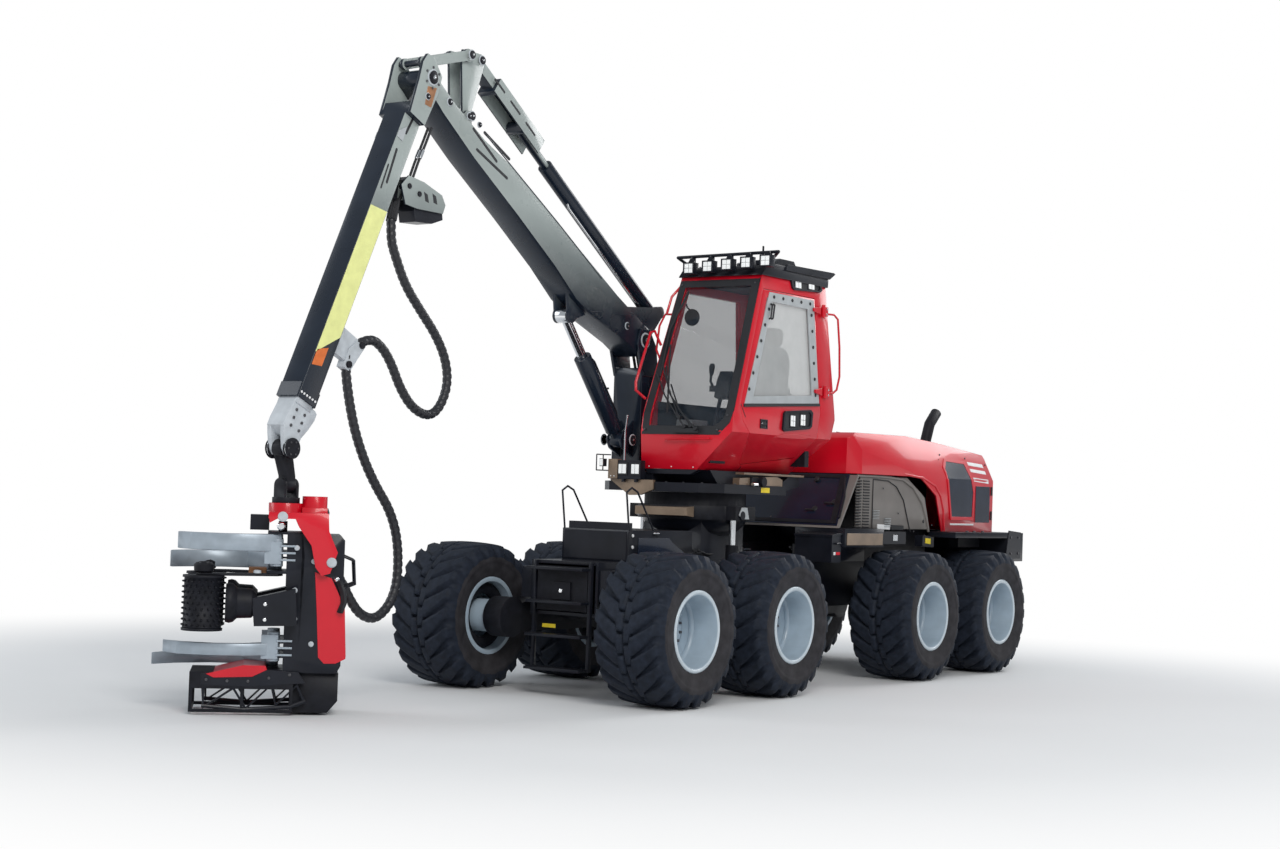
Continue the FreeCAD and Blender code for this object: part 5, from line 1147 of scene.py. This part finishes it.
def slant_marks(piece):
    """Cover, frame, caps and cable on the slanted front of the engine panels."""
    slope = Vector((-0.38, 0, 0.55)).normalized()
    out = Vector((0.55, 0, 0.38)).normalized()
    base = Vector((-2.64, 0, 1.555)) + out * 0.026

    def slant(y, up, depth):
        return base + slope * up + out * depth + Vector((0, y, 0))

    cover = [(-0.83, 0.01), (0.86, 0.01), (0.79, 0.655), (-0.76, 0.655)]
    outer = [(-0.8, 0.03), (0.84, 0.03), (0.76, 0.64), (-0.72, 0.64)]
    inner = [(-0.74, 0.07), (0.77, 0.07), (0.7, 0.6), (-0.66, 0.6)]
    piece.use(PANEL_DARK).slab(cover, -0.006, 0.004, slant)
    piece.use(CAST).band(outer, inner, slant, -0.005, 0.012)
    piece.use(RUBBER)
    for y, up in ((0.53, 0.21), (0.73, 0.3)):
        piece.lathe([(0, 0.034), (0.006, 0.034), (0.01, 0.026)], slant(y, up, 0.0), slant(y, up, 1.0), 20)
        low = up - 0.03
        piece.tube(0.01, [slant(y, low, 0.01), slant(y, low, 0.03), slant(y - 0.09, low, 0.03)], 8)
    piece.lathe([(0, 0.03), (0.03, 0.03), (0.04, 0.02)], slant(0.44, 0.57, 0.0), slant(0.44, 0.57, 1.0),
                 20)
    piece.use(BLACK).tube(0.012, along([(0.76, 0.61), (0.83, 0.36), (0.86, 0.1)], slant, 0.01), 8)
    spots = [(y, up) for y in (-0.74, -0.35, 0.05) for up in (0.09, 0.57)]
    piece.use(BOLT).bolts(along(spots, slant, 0.0), out, 0.011, 0.008)


def make_panel_marks():
    """Everything added to the engine panels."""
    piece = Piece("panel_marks", "rear_body", RUBBER)
    for side in (1, -1):
        panel_side_marks(piece, side)
    slant_marks(piece)
    piece.done(0.002, "panel_grey")


def rear_side_boxes(piece, side):
    """Step box, plates, labels and lugs on one side of the rear frame."""
    low, high = across(side, 0.5, 0.93)
    face, grip = side * 0.932, side * 0.952
    piece.prisms([(BLACK, [(-2.41, 1.21), (-2.6, 1.21), (-2.6, 1.5), (-2.41, 1.48)], low, high),
                  (BLACK, [(-2.4, 1.465), (-2.62, 1.49), (-2.62, 1.512), (-2.4, 1.488)], low - 0.008,
                   high + 0.008)])
    piece.tube(0.01, [(-2.47, face, 1.4), (-2.47, grip, 1.4), (-2.55, grip, 1.4), (-2.55, face, 1.4)],
                8)
    plates = [(RED, rectangle(-2.575, -2.495, 1.285, 1.315), 0.93, 0.933),
              (WHITE, rectangle(-2.485, -2.445, 1.285, 1.315), 0.93, 0.933),
              (BRONZE, rectangle(-3.42, -2.66, 1.385, 1.505), 0.958, 0.966),
              (BLACK, rectangle(-3.96, -3.46, 1.395, 1.525), 0.86, 0.955),
              (CHROME, rectangle(-3.76, -3.66, 1.43, 1.49), 0.955, 0.962),
              (YELLOW, [(-4.41, 1.405), (-4.53, 1.395), (-4.53, 1.455), (-4.41, 1.46)], 0.952, 0.962),
              (BLACK, [(-4.35, 1.37), (-4.62, 1.36), (-4.62, 1.48), (-4.35, 1.49)], 0.86, 0.955),
              (BLACK, [(-5.82, 1.24), (-6.22, 1.24), (-6.22, 1.54), (-5.9, 1.56)], 1.246, 1.258),
              (CAST, rectangle(-5.25, -5.8, 1.36, 1.47), 0.82, 0.94)]
    piece.prisms([(look, outline, *across(side, near, far)) for look, outline, near, far in plates])
    piece.use(BOLT).bolts([(x, side * 1.2, 1.535) for x in (-4.93, -5.1, -5.32)], (0, 0, 1), 0.018, 0.016)
    piece.bolts([(x, side * 1.258, z) for x in (-5.95, -6.15) for z in (1.3, 1.48)], (0, side, 0), 0.015,
                 0.01)


def make_rear_boxes():
    """Boxes and plates along both sides of the rear frame."""
    piece = Piece("rear_frame_boxes", "rear_body", BLACK)
    for side in (1, -1):
        rear_side_boxes(piece, side)
    piece.done(0.004)


def make_rear_hoses():
    """Hose bundle along the rear frame."""
    random_hoses("rear_hoses", "rear_body", ((-3.3, 0.3, 1.36), (-2.7, 0.34, 1.34)), 8, 0.013, 0.05, 9,
                  RUBBER)


# ---------------------------------------------------------------- crane
def slot_face(side, half):
    """Level of a slot mark, which lies mostly inside the face and stands a little proud of it."""
    return half if side > 0 else 0.0045 - half


def make_boom_marks():
    """Slots, pin heads and pipe on the boom."""
    piece = Piece("boom_marks", "boom", RUBBER, BOOM)
    for side in (1, -1):
        y = side * BOOM_SIDE
        for path in ([(3.18, 0.02), (2.77, -0.01)], [(3.04, -0.1), (2.57, -0.04)],
                     [(3.04, 0.095), (2.64, 0.125)]):
            piece.use(RUBBER).slot_mark(path, 0.028, slot_face(side, BOOM_SIDE))
        for u, v, r in ((3.56, 0.0, 0.03), (3.29, 0.07, 0.026), (3.14, 0.1, 0.022), (0.3, -0.04, 0.03)):
            piece.boss((u, y, v), r, side * 0.02)
        piece.use(CRANE).tube(0.006, [(3.0, y, 0.09), (1.73, y, 0.1), (0.9, y, 0.09)], 8)
        piece.boss((BOOM_LENGTH, side * CHEEK, 0.0), 0.055, side * 0.02)
        piece.boss((0.0, side * 0.18, 0.0), 0.06, side * 0.018)
        piece.use(BOLT).bolts([(BOOM_LENGTH + a, side * CHEEK, b) for a, b in circle(6, 0.09)],
                              (0, side, 0), 0.012, 0.01)
    piece.done(0.003, "crane_black")


def make_stick_marks():
    """Slots, coloured bands, pin heads and patches on the stick."""
    piece = Piece("stick_marks", "stick", RUBBER, STICK)
    for side in (1, -1):
        face = side * STICK_SIDE
        y = slot_face(side, STICK_SIDE)
        piece.use(RUBBER).slot_mark([(0.36, -0.01), (0.57, 0.01)], 0.026, y)
        piece.slot_mark([(0.76, 0.045), (1.07, 0.02)], 0.026, y)
        piece.slot_mark([(0.93, 0.072), (1.15, 0.06)], 0.018, y)
        low, high = across(side, 0.116, 0.1225)
        piece.use(PALE_YELLOW).prism([(1.34, 0.099), (1.29, -0.099), (2.5, -0.099), (2.74, 0.099)], low,
                                      high)
        piece.use(ORANGE).prism([(2.71, 0.09), (2.85, 0.09), (2.81, -0.02), (2.64, -0.02)], low, high)
        piece.use(WHITE).bolts([(3.1, face, v) for v in (-0.085, -0.05, -0.015, 0.02, 0.055, 0.088)],
                               (0, side, 0), 0.011, 0.007)
        for u, v, r in ((-0.02, 0.0, 0.045), (0.18, -0.02, 0.026)):
            piece.boss((u, side * 0.1805, v), r, side * 0.016)
    piece.use(COPPER).prism([(0.1, 0.02), (0.05, -0.085), (0.24, -0.1), (0.26, -0.02)], 0.17, 0.1835)
    piece.use(CRANE).prism(rectangle(3.02, 3.146, -0.108, -0.118), -0.115, 0.115)
    piece.prism(rectangle(3.02, 3.146, 0.104, 0.118), -0.115, 0.115)
    for side in (1, -1):
        plate = [(0.52, 0.03), (0.6, 0.1), (0.66, 0.1), (0.66, 0.02)]
        piece.use(PALE_FRAME).prism(plate, *across(side, 0.121, 0.129))
    piece.done(0.003, "crane_black")


def make_extension_marks():
    """Pin heads and bolts on the extension's end."""
    piece = Piece("extension_marks", "extension", PALE, STICK)
    for side in (1, -1):
        piece.boss((TIP_REACH, side * 0.075, -0.045), 0.04, side * 0.016)
        piece.use(BOLT).bolts([(3.24 + 0.07 * k, side * 0.092, v) for k in (0, 1, 2) for v in (-0.055,
                                                                                               0.045)],
                              (0, side, 0), 0.014, 0.01)
    piece.done(0.003, "crane_black")


def make_rocker_marks():
    """Pin heads of the rocker and coupler."""
    piece = Piece("rocker_marks", "rocker", PALE)
    for side in (1, -1):
        for point, half in ((BAR_PIN, 0.1), (ROCKER_FOOT, 0.15), (COUPLER_PIN, 0.15)):
            piece.boss((point.x, CRANE_Y + side * half, point.z), 0.036, side * 0.018)
    piece.done(0.003, "crane_black")


def make_bar_marks():
    """Slots on the bar's fork and the pipe along its barrel."""
    piece = Piece("bar_marks", "bar_upper", RUBBER, BAR)
    for side in (1, -1):
        y = slot_face(side, 0.1)
        for first in (BAR_LENGTH - 0.4, BAR_LENGTH - 0.68, BAR_LENGTH - 0.96):
            piece.use(RUBBER).slot_mark([(first, 0.0), (first + 0.16, 0.0)], 0.024, y)
    piece.done(0.002, "crane_black")
    piece = Piece("bar_barrel_marks", "bar_lower", CHROME, BAR)
    piece.tube(0.01, [(0.25, 0.02, -0.08), (0.3, 0.02, -0.11), (1.7, 0.02, -0.112),
                       (1.76, 0.02, -0.08)], 8)
    piece.done(0.002, "crane_black")


def make_lift_marks():
    """Pipe and bolts on the lift cylinder."""
    piece = Piece("lift_barrel_marks", "lift_barrel", CAST, LIFT)
    piece.tube(0.014, [(0.2, 0.0, 0.108), (0.24, 0.0, 0.128), (0.85, 0.0, 0.128), (0.9, 0.0, 0.108)], 10)
    piece.use(BOLT).bolts([(0.55, y, 0.1) for y in (-0.05, 0.05)], (0, 0, 1), 0.012, 0.012)
    piece.done(0.002, "crane_black")


def make_post_marks():
    """Pin heads, pipe and hoses on the crane post."""
    piece = Piece("post_marks", "upper", CAST)
    for side in (1, -1):
        piece.boss((LIFT_FOOT.x, CRANE_Y + side * 0.17, LIFT_FOOT.z), 0.045, side * 0.016)
    piece.use(CHROME).tube(0.01, [(-0.735, -0.47, 2.1), (-0.735, -0.47, 2.45), (-0.76, -0.47, 2.6)], 8)
    for y in (-0.55 - 0.045 * k for k in range(4)):
        piece.use(RUBBER).tube(0.015, [(-1.1, y, 2.05), (-1.22, y, 2.35), (-1.24, y, 2.9),
                                       (-1.12, y, 3.25)], 10)
    piece.done(0.003, "crane_black")


def make_hose_bracket():
    """Curved guard on the stick's side that carries the hoses, in machine-frame outline."""
    web = [(2.63, 4.38), (2.54, 4.47), (2.34, 4.44), (2.1, 4.36), (2.05, 4.28), (2.08, 4.2), (2.42, 4.2),
            (2.57, 4.22)]
    hood = [(2.42, 4.3), (2.08, 4.28), (2.06, 4.15), (2.2, 4.1), (2.42, 4.09), (2.44, 4.18)]
    # the web plates carry the crane's painted pale reflection on their sides
    piece = Piece("hose_bracket", "stick", CRANE_SIDE_REFLECTION)
    for y in (-0.5, -0.7):
        piece.use(CRANE_SIDE_REFLECTION).prism(web, y - 0.008, y + 0.008)
        for x in (2.16, 2.27):
            piece.use(RUBBER).prism([(x, 4.27), (x + 0.05, 4.28), (x + 0.07, 4.36), (x + 0.02, 4.34)],
                                    y - 0.0095, y + 0.0095)
    piece.use(BLACK).prism(hood, -0.69, -0.51)
    piece.prism([(2.6, 4.42), (2.54, 4.46), (2.34, 4.43), (2.12, 4.36), (2.14, 4.34), (2.34, 4.4),
                 (2.53, 4.43)], -0.69, -0.51)
    for x, z in ((2.53, 4.38), (2.4, 4.33)):
        piece.use(CAST).rod(0.024, (x, -0.72, z), (x, -0.48, z), 16)
    piece.prism([(2.78, 4.52), (2.56, 4.44), (2.58, 4.26), (2.84, 4.34)], -0.62, -0.58)
    for y in (-0.52, -0.56):
        piece.use(RUBBER).tube(0.012, [(2.24, y, 4.93), (2.31, y, 4.78), (2.4, y, 4.6), (2.46, y, 4.46)])
        piece.use(CHROME).rod(0.017, (2.34, y, 4.72), (2.38, y, 4.64), 12)
    for k in range(4):
        y = -0.665 + 0.03 * k
        piece.use(RUBBER).tube(0.014, [(2.49, y, 4.38), (2.56, y, 4.26), (2.6, y, 4.08)])
    piece.done(0.004, "crane_black")


def make_hose_saddle():
    """Saddle on the extension that takes the hose's end."""
    piece = Piece("hose_saddle", "extension", PALE)
    piece.prism([(2.9, 2.98), (3.0, 3.02), (3.1, 2.95), (3.16, 2.8), (3.08, 2.76), (3.0, 2.86)], -0.66,
                 -0.58)
    for x, z in ((2.95, 2.99), (3.1, 2.82)):
        piece.use(CAST).rod(0.03, (x, -0.68, z), (x, -0.56, z), 16)
    piece.done(0.006, "crane_black")


# ---------------------------------------------------------------- hoses from stick to head
HOSE_RADIUS = 0.041


def hose_line(route):
    """Smooth centreline through a route of control points, in the row frame."""
    data = bpy.data.curves.new("line", "CURVE")
    data.dimensions = "3D"
    spline = data.splines.new("NURBS")
    spline.points.add(len(route) - 1)
    for point, (x, z) in zip(spline.points, route):
        point.co = (*(Vector((x, CRANE_Y, z)) + HOME), 1)
    spline.order_u = 3
    spline.use_endpoint_u = True
    spline.resolution_u = 10
    item = bpy.data.objects.new("line", data)
    mesh = bpy.data.meshes.new_from_object(item)
    line = [vertex.co.copy() for vertex in mesh.vertices]
    bpy.data.objects.remove(item)
    bpy.data.curves.remove(data)
    bpy.data.meshes.remove(mesh)
    return line


def even(line, step):
    """The line's points respaced evenly."""
    out, carry = [line[0]], 0.0
    for first, last in zip(line, line[1:]):
        length = (last - first).length
        reach = step - carry
        while reach <= length:
            out.append(first.lerp(last, reach / length))
            reach += step
        carry = length - (reach - step)
    if (line[-1] - out[-1]).length > step * 0.3:
        out.append(line[-1])
    return out


def hose_skin(name, line):
    """Round hose with a spiral guard wound on it; the guard is a ridge that runs round as it goes along."""
    sides, rows = 28, []
    turn = 0.0
    for k, point in enumerate(line):
        ahead = (line[min(k + 1, len(line) - 1)] - line[max(k - 1, 0)]).normalized()
        across = Vector((0, 1, 0))
        up = ahead.cross(across).normalized()
        turn += 2 * math.pi / 5.0
        row = []
        for n in range(sides):
            angle = 2 * math.pi * n / sides
            ridge = math.cos(angle - turn)
            radius = HOSE_RADIUS - 0.0055 * smooth_step(0.25, 0.85, ridge)
            row.append(point + (across * math.cos(angle) + up * math.sin(angle)) * radius)
        rows.append(row)
    return Piece(name, "", HOSE).rings(rows).shape()


def make_hose(name, route, body, far_body=None):
    line = even(hose_line(route), 0.012)
    item = add_item(name, hose_skin(name, line))
    if far_body:
        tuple(line[0])
        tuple(line[-1])
        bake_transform(item)
    else:
        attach(item, body)
    length = sum((b - a).length for a, b in zip(line, line[1:]))
    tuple(line[0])


UPPER_HOSE = [(2.6, 4.1), (2.6, 3.93), (2.537, 3.796), (2.395, 3.554), (2.189, 3.358),
              (1.966, 3.16), (1.819, 2.952), (1.78, 2.734), (1.876, 2.526), (2.031, 2.439),
              (2.245, 2.506), (2.409, 2.668), (2.522, 2.857), (2.643, 2.993), (2.809, 3.072),
              (2.964, 2.993)]
LOWER_HOSE = [(3.09, 2.9), (3.097, 2.775), (2.989, 2.366), (2.852, 2.079), (2.677, 1.832),
              (2.477, 1.624), (2.361, 1.369), (2.342, 1.028), (2.432, 0.816), (2.613, 0.695),
              (2.801, 0.742), (2.93, 0.87), (3.02, 1.0), (3.12, 1.11), (3.215, 1.175)]


# ---------------------------------------------------------------- harvester head
FIT = 0.93


def fitted(outline):
    """Outline scaled to the head's height."""
    return [(x, z * FIT) for x, z in outline]


def knife_bearings(piece, side):
    """Upright pin, cheek and three fins beside the upper and the lower knives."""
    for low, high in ((-0.43, -0.215), (-1.175, -0.945)):
        piece.use(STEEL).rod(0.05, (0.055, side * 0.215, low), (0.055, side * 0.215, high), 20)
        piece.prism(rectangle(0.02, 0.15, low + 0.02, high - 0.02), *across(side, 0.245, 0.275))
        for z in (low + 0.045 + 0.055 * k for k in range(3)):
            piece.prism(rectangle(-0.09, 0.03, z, z + 0.016), *across(side, 0.262, 0.285))


def hose_cage(piece):
    """Bar cage behind the head."""
    cage = fitted([(-0.34, -0.36), (-0.458, -0.36), (-0.553, -0.4), (-0.567, -0.599), (-0.475, -0.64)])
    for y in (-0.16, 0.0, 0.16):
        piece.use(BLACK).tube(0.012, [(x, y, z) for x, z in cage], 8)
    for x, z in cage[1:4]:
        piece.tube(0.01, [(x, -0.16, z), (x, 0.16, z)], 8)


def make_head_covers():
    """Red covers, black frame plates, pin heads, bearings and the cage, fixed to the head's frame."""
    piece = Piece("head_covers", "head", RED, HEAD)
    back = [(-0.247, -0.501), (-0.379, -0.55), (-0.486, -0.784), (-0.51, -1.23), (-0.433, -1.271),
            (-0.342, -1.273), (-0.295, -1.221), (-0.275, -0.894)]
    frame_plate = [(-0.078, -0.17), (-0.144, -0.19), (-0.164, -0.372), (-0.149, -0.975), (-0.135, -1.276)]
    spine = [(-0.385, -0.56), (-0.49, -0.79), (-0.512, -1.22), (-0.498, -1.22), (-0.476, -0.79),
             (-0.372, -0.56)]
    top = [(0.565, -1.372), (0.278, -1.295), (0.11, -1.299), (0.096, -1.331), (0.21, -1.392),
           (0.505, -1.403)]
    for side in (1, -1):
        piece.use(RED).prism(fitted(back), *across(side, 0.262, 0.276))
        piece.use(BLACK).prism(fitted(frame_plate), *across(side, 0.262, 0.27))
    piece.prisms([(RED, fitted(spine), -0.262, 0.262),
                  (RED, fitted(top), -0.255, 0.296),
                  (BLACK, fitted(rectangle(0.272, 0.123, -0.03, -0.16)), -0.11, 0.11),
                  (COPPER, fitted(rectangle(0.27, 0.13, -0.48, -0.55)), -0.08, 0.08)])
    piece.use(CHROME).lathe([(0, 0.034), (0.05, 0.034), (0.065, 0.024)], (0.03, 0.262, -0.11),
                            (0.03, 1, -0.11), 20)
    pins = fitted([(-0.236, -0.411), (-0.281, -0.406), (-0.284, -0.471), (-0.342, -0.456), (-0.237, -1.11),
                   (-0.095, -0.659), (-0.1, -0.3), (-0.1, -0.9)])
    for side in (1, -1):
        for x, z in pins:
            piece.use(PALE).lathe([(0, 0.022), (0.012, 0.022), (0.016, 0.014)], (x, side * 0.268, z),
                                  (x, side * 2, z), 18)
        knife_bearings(piece, side)
    hose_cage(piece)
    piece.done(0.004, "red")


def make_saw_frame():
    """Webs, bars and bolts beside the saw box."""
    piece = Piece("saw_frame_webs", "head", BLACK, HEAD)
    rim = fitted([(0.605, -1.368), (0.222, -1.38), (0.109, -1.335), (-0.147, -1.348), (-0.205, -1.44),
                  (0.218, -1.475), (0.601, -1.468)])
    truss = fitted([(0.585, -1.46), (0.575, -1.655), (0.35, -1.49), (0.25, -1.66), (0.06, -1.46),
                    (0.02, -1.63), (-0.14, -1.46), (-0.2, -1.6)])
    spots = fitted([(0.56, -1.42), (0.4, -1.43), (0.24, -1.43), (0.08, -1.4), (-0.08, -1.37)])
    low_rail = fitted([(0.59, -1.64), (0.26, -1.668), (-0.09, -1.64), (-0.21, -1.59)])
    for side in (1, -1):
        low, high = across(side, 0.268, 0.292)
        piece.use(BLACK).prism(rim, low, high)
        for path, radius in ((truss, 0.014), (low_rail, 0.017)):
            piece.tube(radius, [(x, side * 0.276, z) for x, z in path], 8)
        piece.use(BOLT).bolts([(x, side * 0.292, z) for x, z in spots], (0, side, 0), 0.013, 0.01)
    piece.done()


ROLLER_X, ROLLER_Y = 0.61, 0.33


def spiked_roller(word, side):
    """Feed roller skin: a drum with rows of studs and two rims."""
    x, y = ROLLER_X, side * ROLLER_Y
    low, high = -0.936, -0.506
    piece = Piece(f"roller_skin_{word}", f"feed_roller_{word}", CAST, HEAD)
    piece.lathe([(0, 0.12), (0.0, 0.158), (0.018, 0.16), (0.02, 0.146), (0.41, 0.146), (0.412, 0.16),
                 (0.43, 0.158), (0.43, 0.12)], (x, y, low), (x, y, high), 40)
    for ring in range(9):
        z = low + 0.045 + 0.042 * ring
        for a, b in circle(18, 1, 10 * (ring % 2)):
            out = Vector((a, b, 0))
            foot = Vector((x, y, z)) + out * 0.143
            piece.lathe([(0, 0.011), (0.014, 0.008), (0.02, 0.004)], foot, foot + out, 6)
    piece.lathe([(0, 0.06), (0.01, 0.15), (0.03, 0.15)], (x, y, low + 0.01), (x, y, high), 32)
    piece.done(0, replaces=[f"feed_roller_{word}"])


def roller_motor(word, side):
    """Motor on top of a feed roller, its drive and the arm's cover."""
    x, y = ROLLER_X, side * ROLLER_Y
    piece = Piece(f"roller_skin_{word}_motor", f"roller_arm_{word}", CAST, HEAD)
    piece.lathe([(0, 0.06), (0.01, 0.075), (0.06, 0.078), (0.075, 0.06), (0.085, 0.03)], (x, y, -0.485),
                 (x, y, 1), 28)
    piece.use(BOLT).bolts([(x + a, y + b, -0.415) for a, b in circle(6, 0.055)], (0, 0, 1), 0.009, 0.008)
    piece.use(PALE).lathe([(0, 0.03), (0.02, 0.03), (0.025, 0.02)], (0.2, side * 0.3, -0.484),
                          (0.2, side * 0.3, 1), 20)
    inner = y - side * 0.03
    piece.use(CAST).lathe([(0, 0.15), (0.03, 0.158), (0.06, 0.15), (0.09, 0.12), (0.2, 0.115),
                           (0.24, 0.075)], (0.435, inner, -0.72), (0, inner, -0.72), 28)
    piece.use(BOLT).bolts([(0.4, inner + a, -0.72 + b) for a, b in circle(8, 0.135)], (1, 0, 0), 0.012,
                           0.02)
    piece.use(BLACK).prism(fitted([(0.233, -0.728), (-0.1, -0.64), (-0.12, -0.95), (0.211, -0.96)]),
                           *across(side, 0.24, 0.4))
    piece.use(CHROME).bolts([(0.13, side * 0.4, -0.72), (0.13, side * 0.4, -0.84)], (0, side, 0), 0.016,
                             0.01)
    piece.done()


def make_head_hoses():
    """Hoses behind the head's red cover."""
    piece = Piece("head_hoses", "head", RUBBER, HEAD)
    back = [(-0.425, -0.53), (-0.462, -0.62), (-0.47, -0.7), (-0.44, -0.78)]
    for k in range(3):
        piece.tube(0.015, [(x - 0.01 * k, 0.291 + 0.012 * k, z) for x, z in back], 10)
    piece.use(CHROME).rod(0.022, (-0.425, 0.291, -0.53), (-0.412, 0.291, -0.505), 12)
    piece.done(0)


def make_rotator_hoses():
    """Hoses and discs on the rotator bracket."""
    piece = Piece("rotator_hoses", "head_bracket", RUBBER, HEAD)
    for k in range(4):
        x = -0.24 - 0.03 * k
        piece.tube(0.013, [(x, 0.05 - 0.06 * k, 0.03), (x - 0.01, 0.07 - 0.06 * k, 0.0),
                           (x, 0.08 - 0.06 * k, -0.06)])
    piece.use(PALE)
    for side in (1, -1):
        for x, z in ((-0.372, -0.385), (0.02, -0.035)):
            piece.lathe([(0, 0.04), (0.01, 0.04), (0.016, 0.03)], (x, side * 0.34, z),
                        (x, side * 2, z), 24)
    piece.done(0.002, "red")


def make_link_discs():
    """Brake discs on both sides of the tip link."""
    piece = Piece("link_discs", "link", CAST)
    for side in (1, -1):
        for look, radius, step in ((CAST, 0.085, 0.082), (CHROME, 0.078, 0.094), (CAST, 0.085, 0.106)):
            y = CRANE_Y + side * step
            piece.use(look).rod(radius, (TIP.x, y, TIP.z), (TIP.x, y + side * 0.01, TIP.z), 36)
        face = CRANE_Y + side * 0.116
        piece.use(BOLT).bolts([(TIP.x + a, face, TIP.z + b) for a, b in circle(6, 0.055)], (0, side, 0),
                               0.009, 0.008)
    piece.done(0.002, "crane_black")


def make_rollers():
    for word, side in SIDES.items():
        spiked_roller(word, side)
        roller_motor(word, side)


def make_hoses():
    make_hose("upper_hose", UPPER_HOSE, "stick", "extension")
    make_hose("lower_hose", LOWER_HOSE, "extension", "link")


MAKERS = (make_windshield_border, make_wiper_arms, make_cab_handles, make_cab_underside, make_cab_seams,
          make_roof_fittings, make_roof_lamp_faces, make_door_frame, make_door_handle, make_side_lamps,
          make_door_hinges, make_seat, make_cab_interior, make_platform, make_slew_dish, make_front_box,
          make_steering_cylinders, make_frame_hoses, make_axle_ends, make_hood_marks, make_panel_marks,
          make_rear_boxes, make_rear_hoses, make_boom_marks, make_stick_marks, make_extension_marks,
          make_rocker_marks, make_bar_marks, make_lift_marks, make_post_marks, make_hose_bracket,
          make_hose_saddle, make_hoses, make_head_covers, make_saw_frame, make_rollers, make_head_hoses,
          make_rotator_hoses, make_link_discs)
for make in MAKERS:
    make()


# ---------------------------------------------------------------- camera, light, floor
def make_camera():
    """Camera at the machine's front left, a little under two metres above the ground."""
    yaw, pitch, roll = math.radians(34.909), math.radians(1.977), math.radians(1.936)
    away = Vector((-math.cos(yaw) * math.cos(pitch), -math.sin(yaw) * math.cos(pitch), math.sin(pitch)))
    right = away.cross(Vector((0, 0, 1))).normalized()
    up = right.cross(away)
    right, up = right * math.cos(roll) + up * math.sin(roll), up * math.cos(roll) - right * math.sin(roll)
    turn = Matrix((right, up, -away)).transposed()
    data = bpy.data.cameras.new("photo_camera")
    data.lens = 57.15
    data.sensor_width = 36.0
    data.clip_end = 200
    camera = add_item("photo_camera", data)
    camera.matrix_world = Matrix.Translation(HOME + Vector((15.466, 11.007, 1.826))) @ turn.to_4x4()
    bpy.context.scene.camera = camera


def lamp(name, place, target, energy, width, colour=(1, 1, 1)):
    data = bpy.data.lights.new(name, "AREA")
    data.energy = energy
    data.size = width
    data.color = colour
    item = add_item(name, data)
    item.location = place
    item.rotation_mode = "QUATERNION"
    item.rotation_quaternion = (Vector(target) - Vector(place)).to_track_quat("-Z", "Y")


FLOOR_NEAR, FLOOR_FAR, FLOOR_REACH = 5.5, 11.0, 60.0
AIM = (0, 0, 1.5)


def fading_floor():
    """Pale floor that takes shadows near the machine and turns plain white away from it."""
    material = surface("floor_white", (0.86, 0.87, 0.88), rough=0.7, vary=0.01, grain=0.5)
    tree = material.node_tree
    shader, output = tree.nodes["Principled BSDF"], tree.nodes["Material Output"]
    glow, mix = tree.nodes.new("ShaderNodeEmission"), tree.nodes.new("ShaderNodeMixShader")
    place, reach = tree.nodes.new("ShaderNodeTexCoord"), tree.nodes.new("ShaderNodeVectorMath")
    reach.operation = "LENGTH"
    link(tree, place, "Object", reach, 0)
    fade = ranged(tree, reach, "Value", FLOOR_NEAR, FLOOR_FAR)
    fade.interpolation_type = "SMOOTHSTEP"
    link(tree, fade, "Result", mix, "Fac")
    tree.links.new(shader.outputs[0], mix.inputs[1])
    tree.links.new(glow.outputs[0], mix.inputs[2])
    link(tree, mix, "Shader", output, "Surface")
    return material


def make_world():
    """Soft light from all round, and plain white behind the machine."""
    world = bpy.data.worlds.new("studio")
    bpy.context.scene.world = world
    world.use_nodes = True
    tree = world.node_tree
    tree.nodes.clear()
    light, seen = tree.nodes.new("ShaderNodeBackground"), tree.nodes.new("ShaderNodeBackground")
    light.inputs["Color"].default_value = (0.9, 0.95, 1.0, 1)
    light.inputs["Strength"].default_value = 0.42
    seen.inputs["Strength"].default_value = 1.0
    seen.inputs["Color"].default_value = (1, 1, 1, 1)
    path, mix = tree.nodes.new("ShaderNodeLightPath"), tree.nodes.new("ShaderNodeMixShader")
    most = calculate(tree, "MAXIMUM")
    link(tree, path, "Is Camera Ray", most, 0)
    link(tree, path, "Is Transmission Ray", most, 1)
    link(tree, most, "Value", mix, "Fac")
    tree.links.new(light.outputs[0], mix.inputs[1])
    tree.links.new(seen.outputs[0], mix.inputs[2])
    tree.links.new(mix.outputs[0], tree.nodes.new("ShaderNodeOutputWorld").inputs["Surface"])


def make_floor():
    mesh = bpy.data.meshes.new("floor")
    corners = rectangle(-FLOOR_REACH, FLOOR_REACH, -FLOOR_REACH, FLOOR_REACH)
    mesh.from_pydata([(x, y, 0) for x, y in corners], [], [(0, 1, 2, 3)])
    mesh.materials.append(fading_floor())
    floor = add_item("floor", mesh)
    floor.location.z = -0.002


def make_lamps():
    lamp("key", (14, 14, 14), AIM, 2300, 9.0, (1.0, 0.98, 0.95))
    lamp("fill", (10, -16, 9), AIM, 700, 9.0, (0.92, 0.96, 1.0))
    lamp("back", (-16, 4, 12), AIM, 1100, 9.0)


make_camera()
make_world()
make_floor()
make_lamps()
bpy.context.scene.view_settings.view_transform = "Standard"
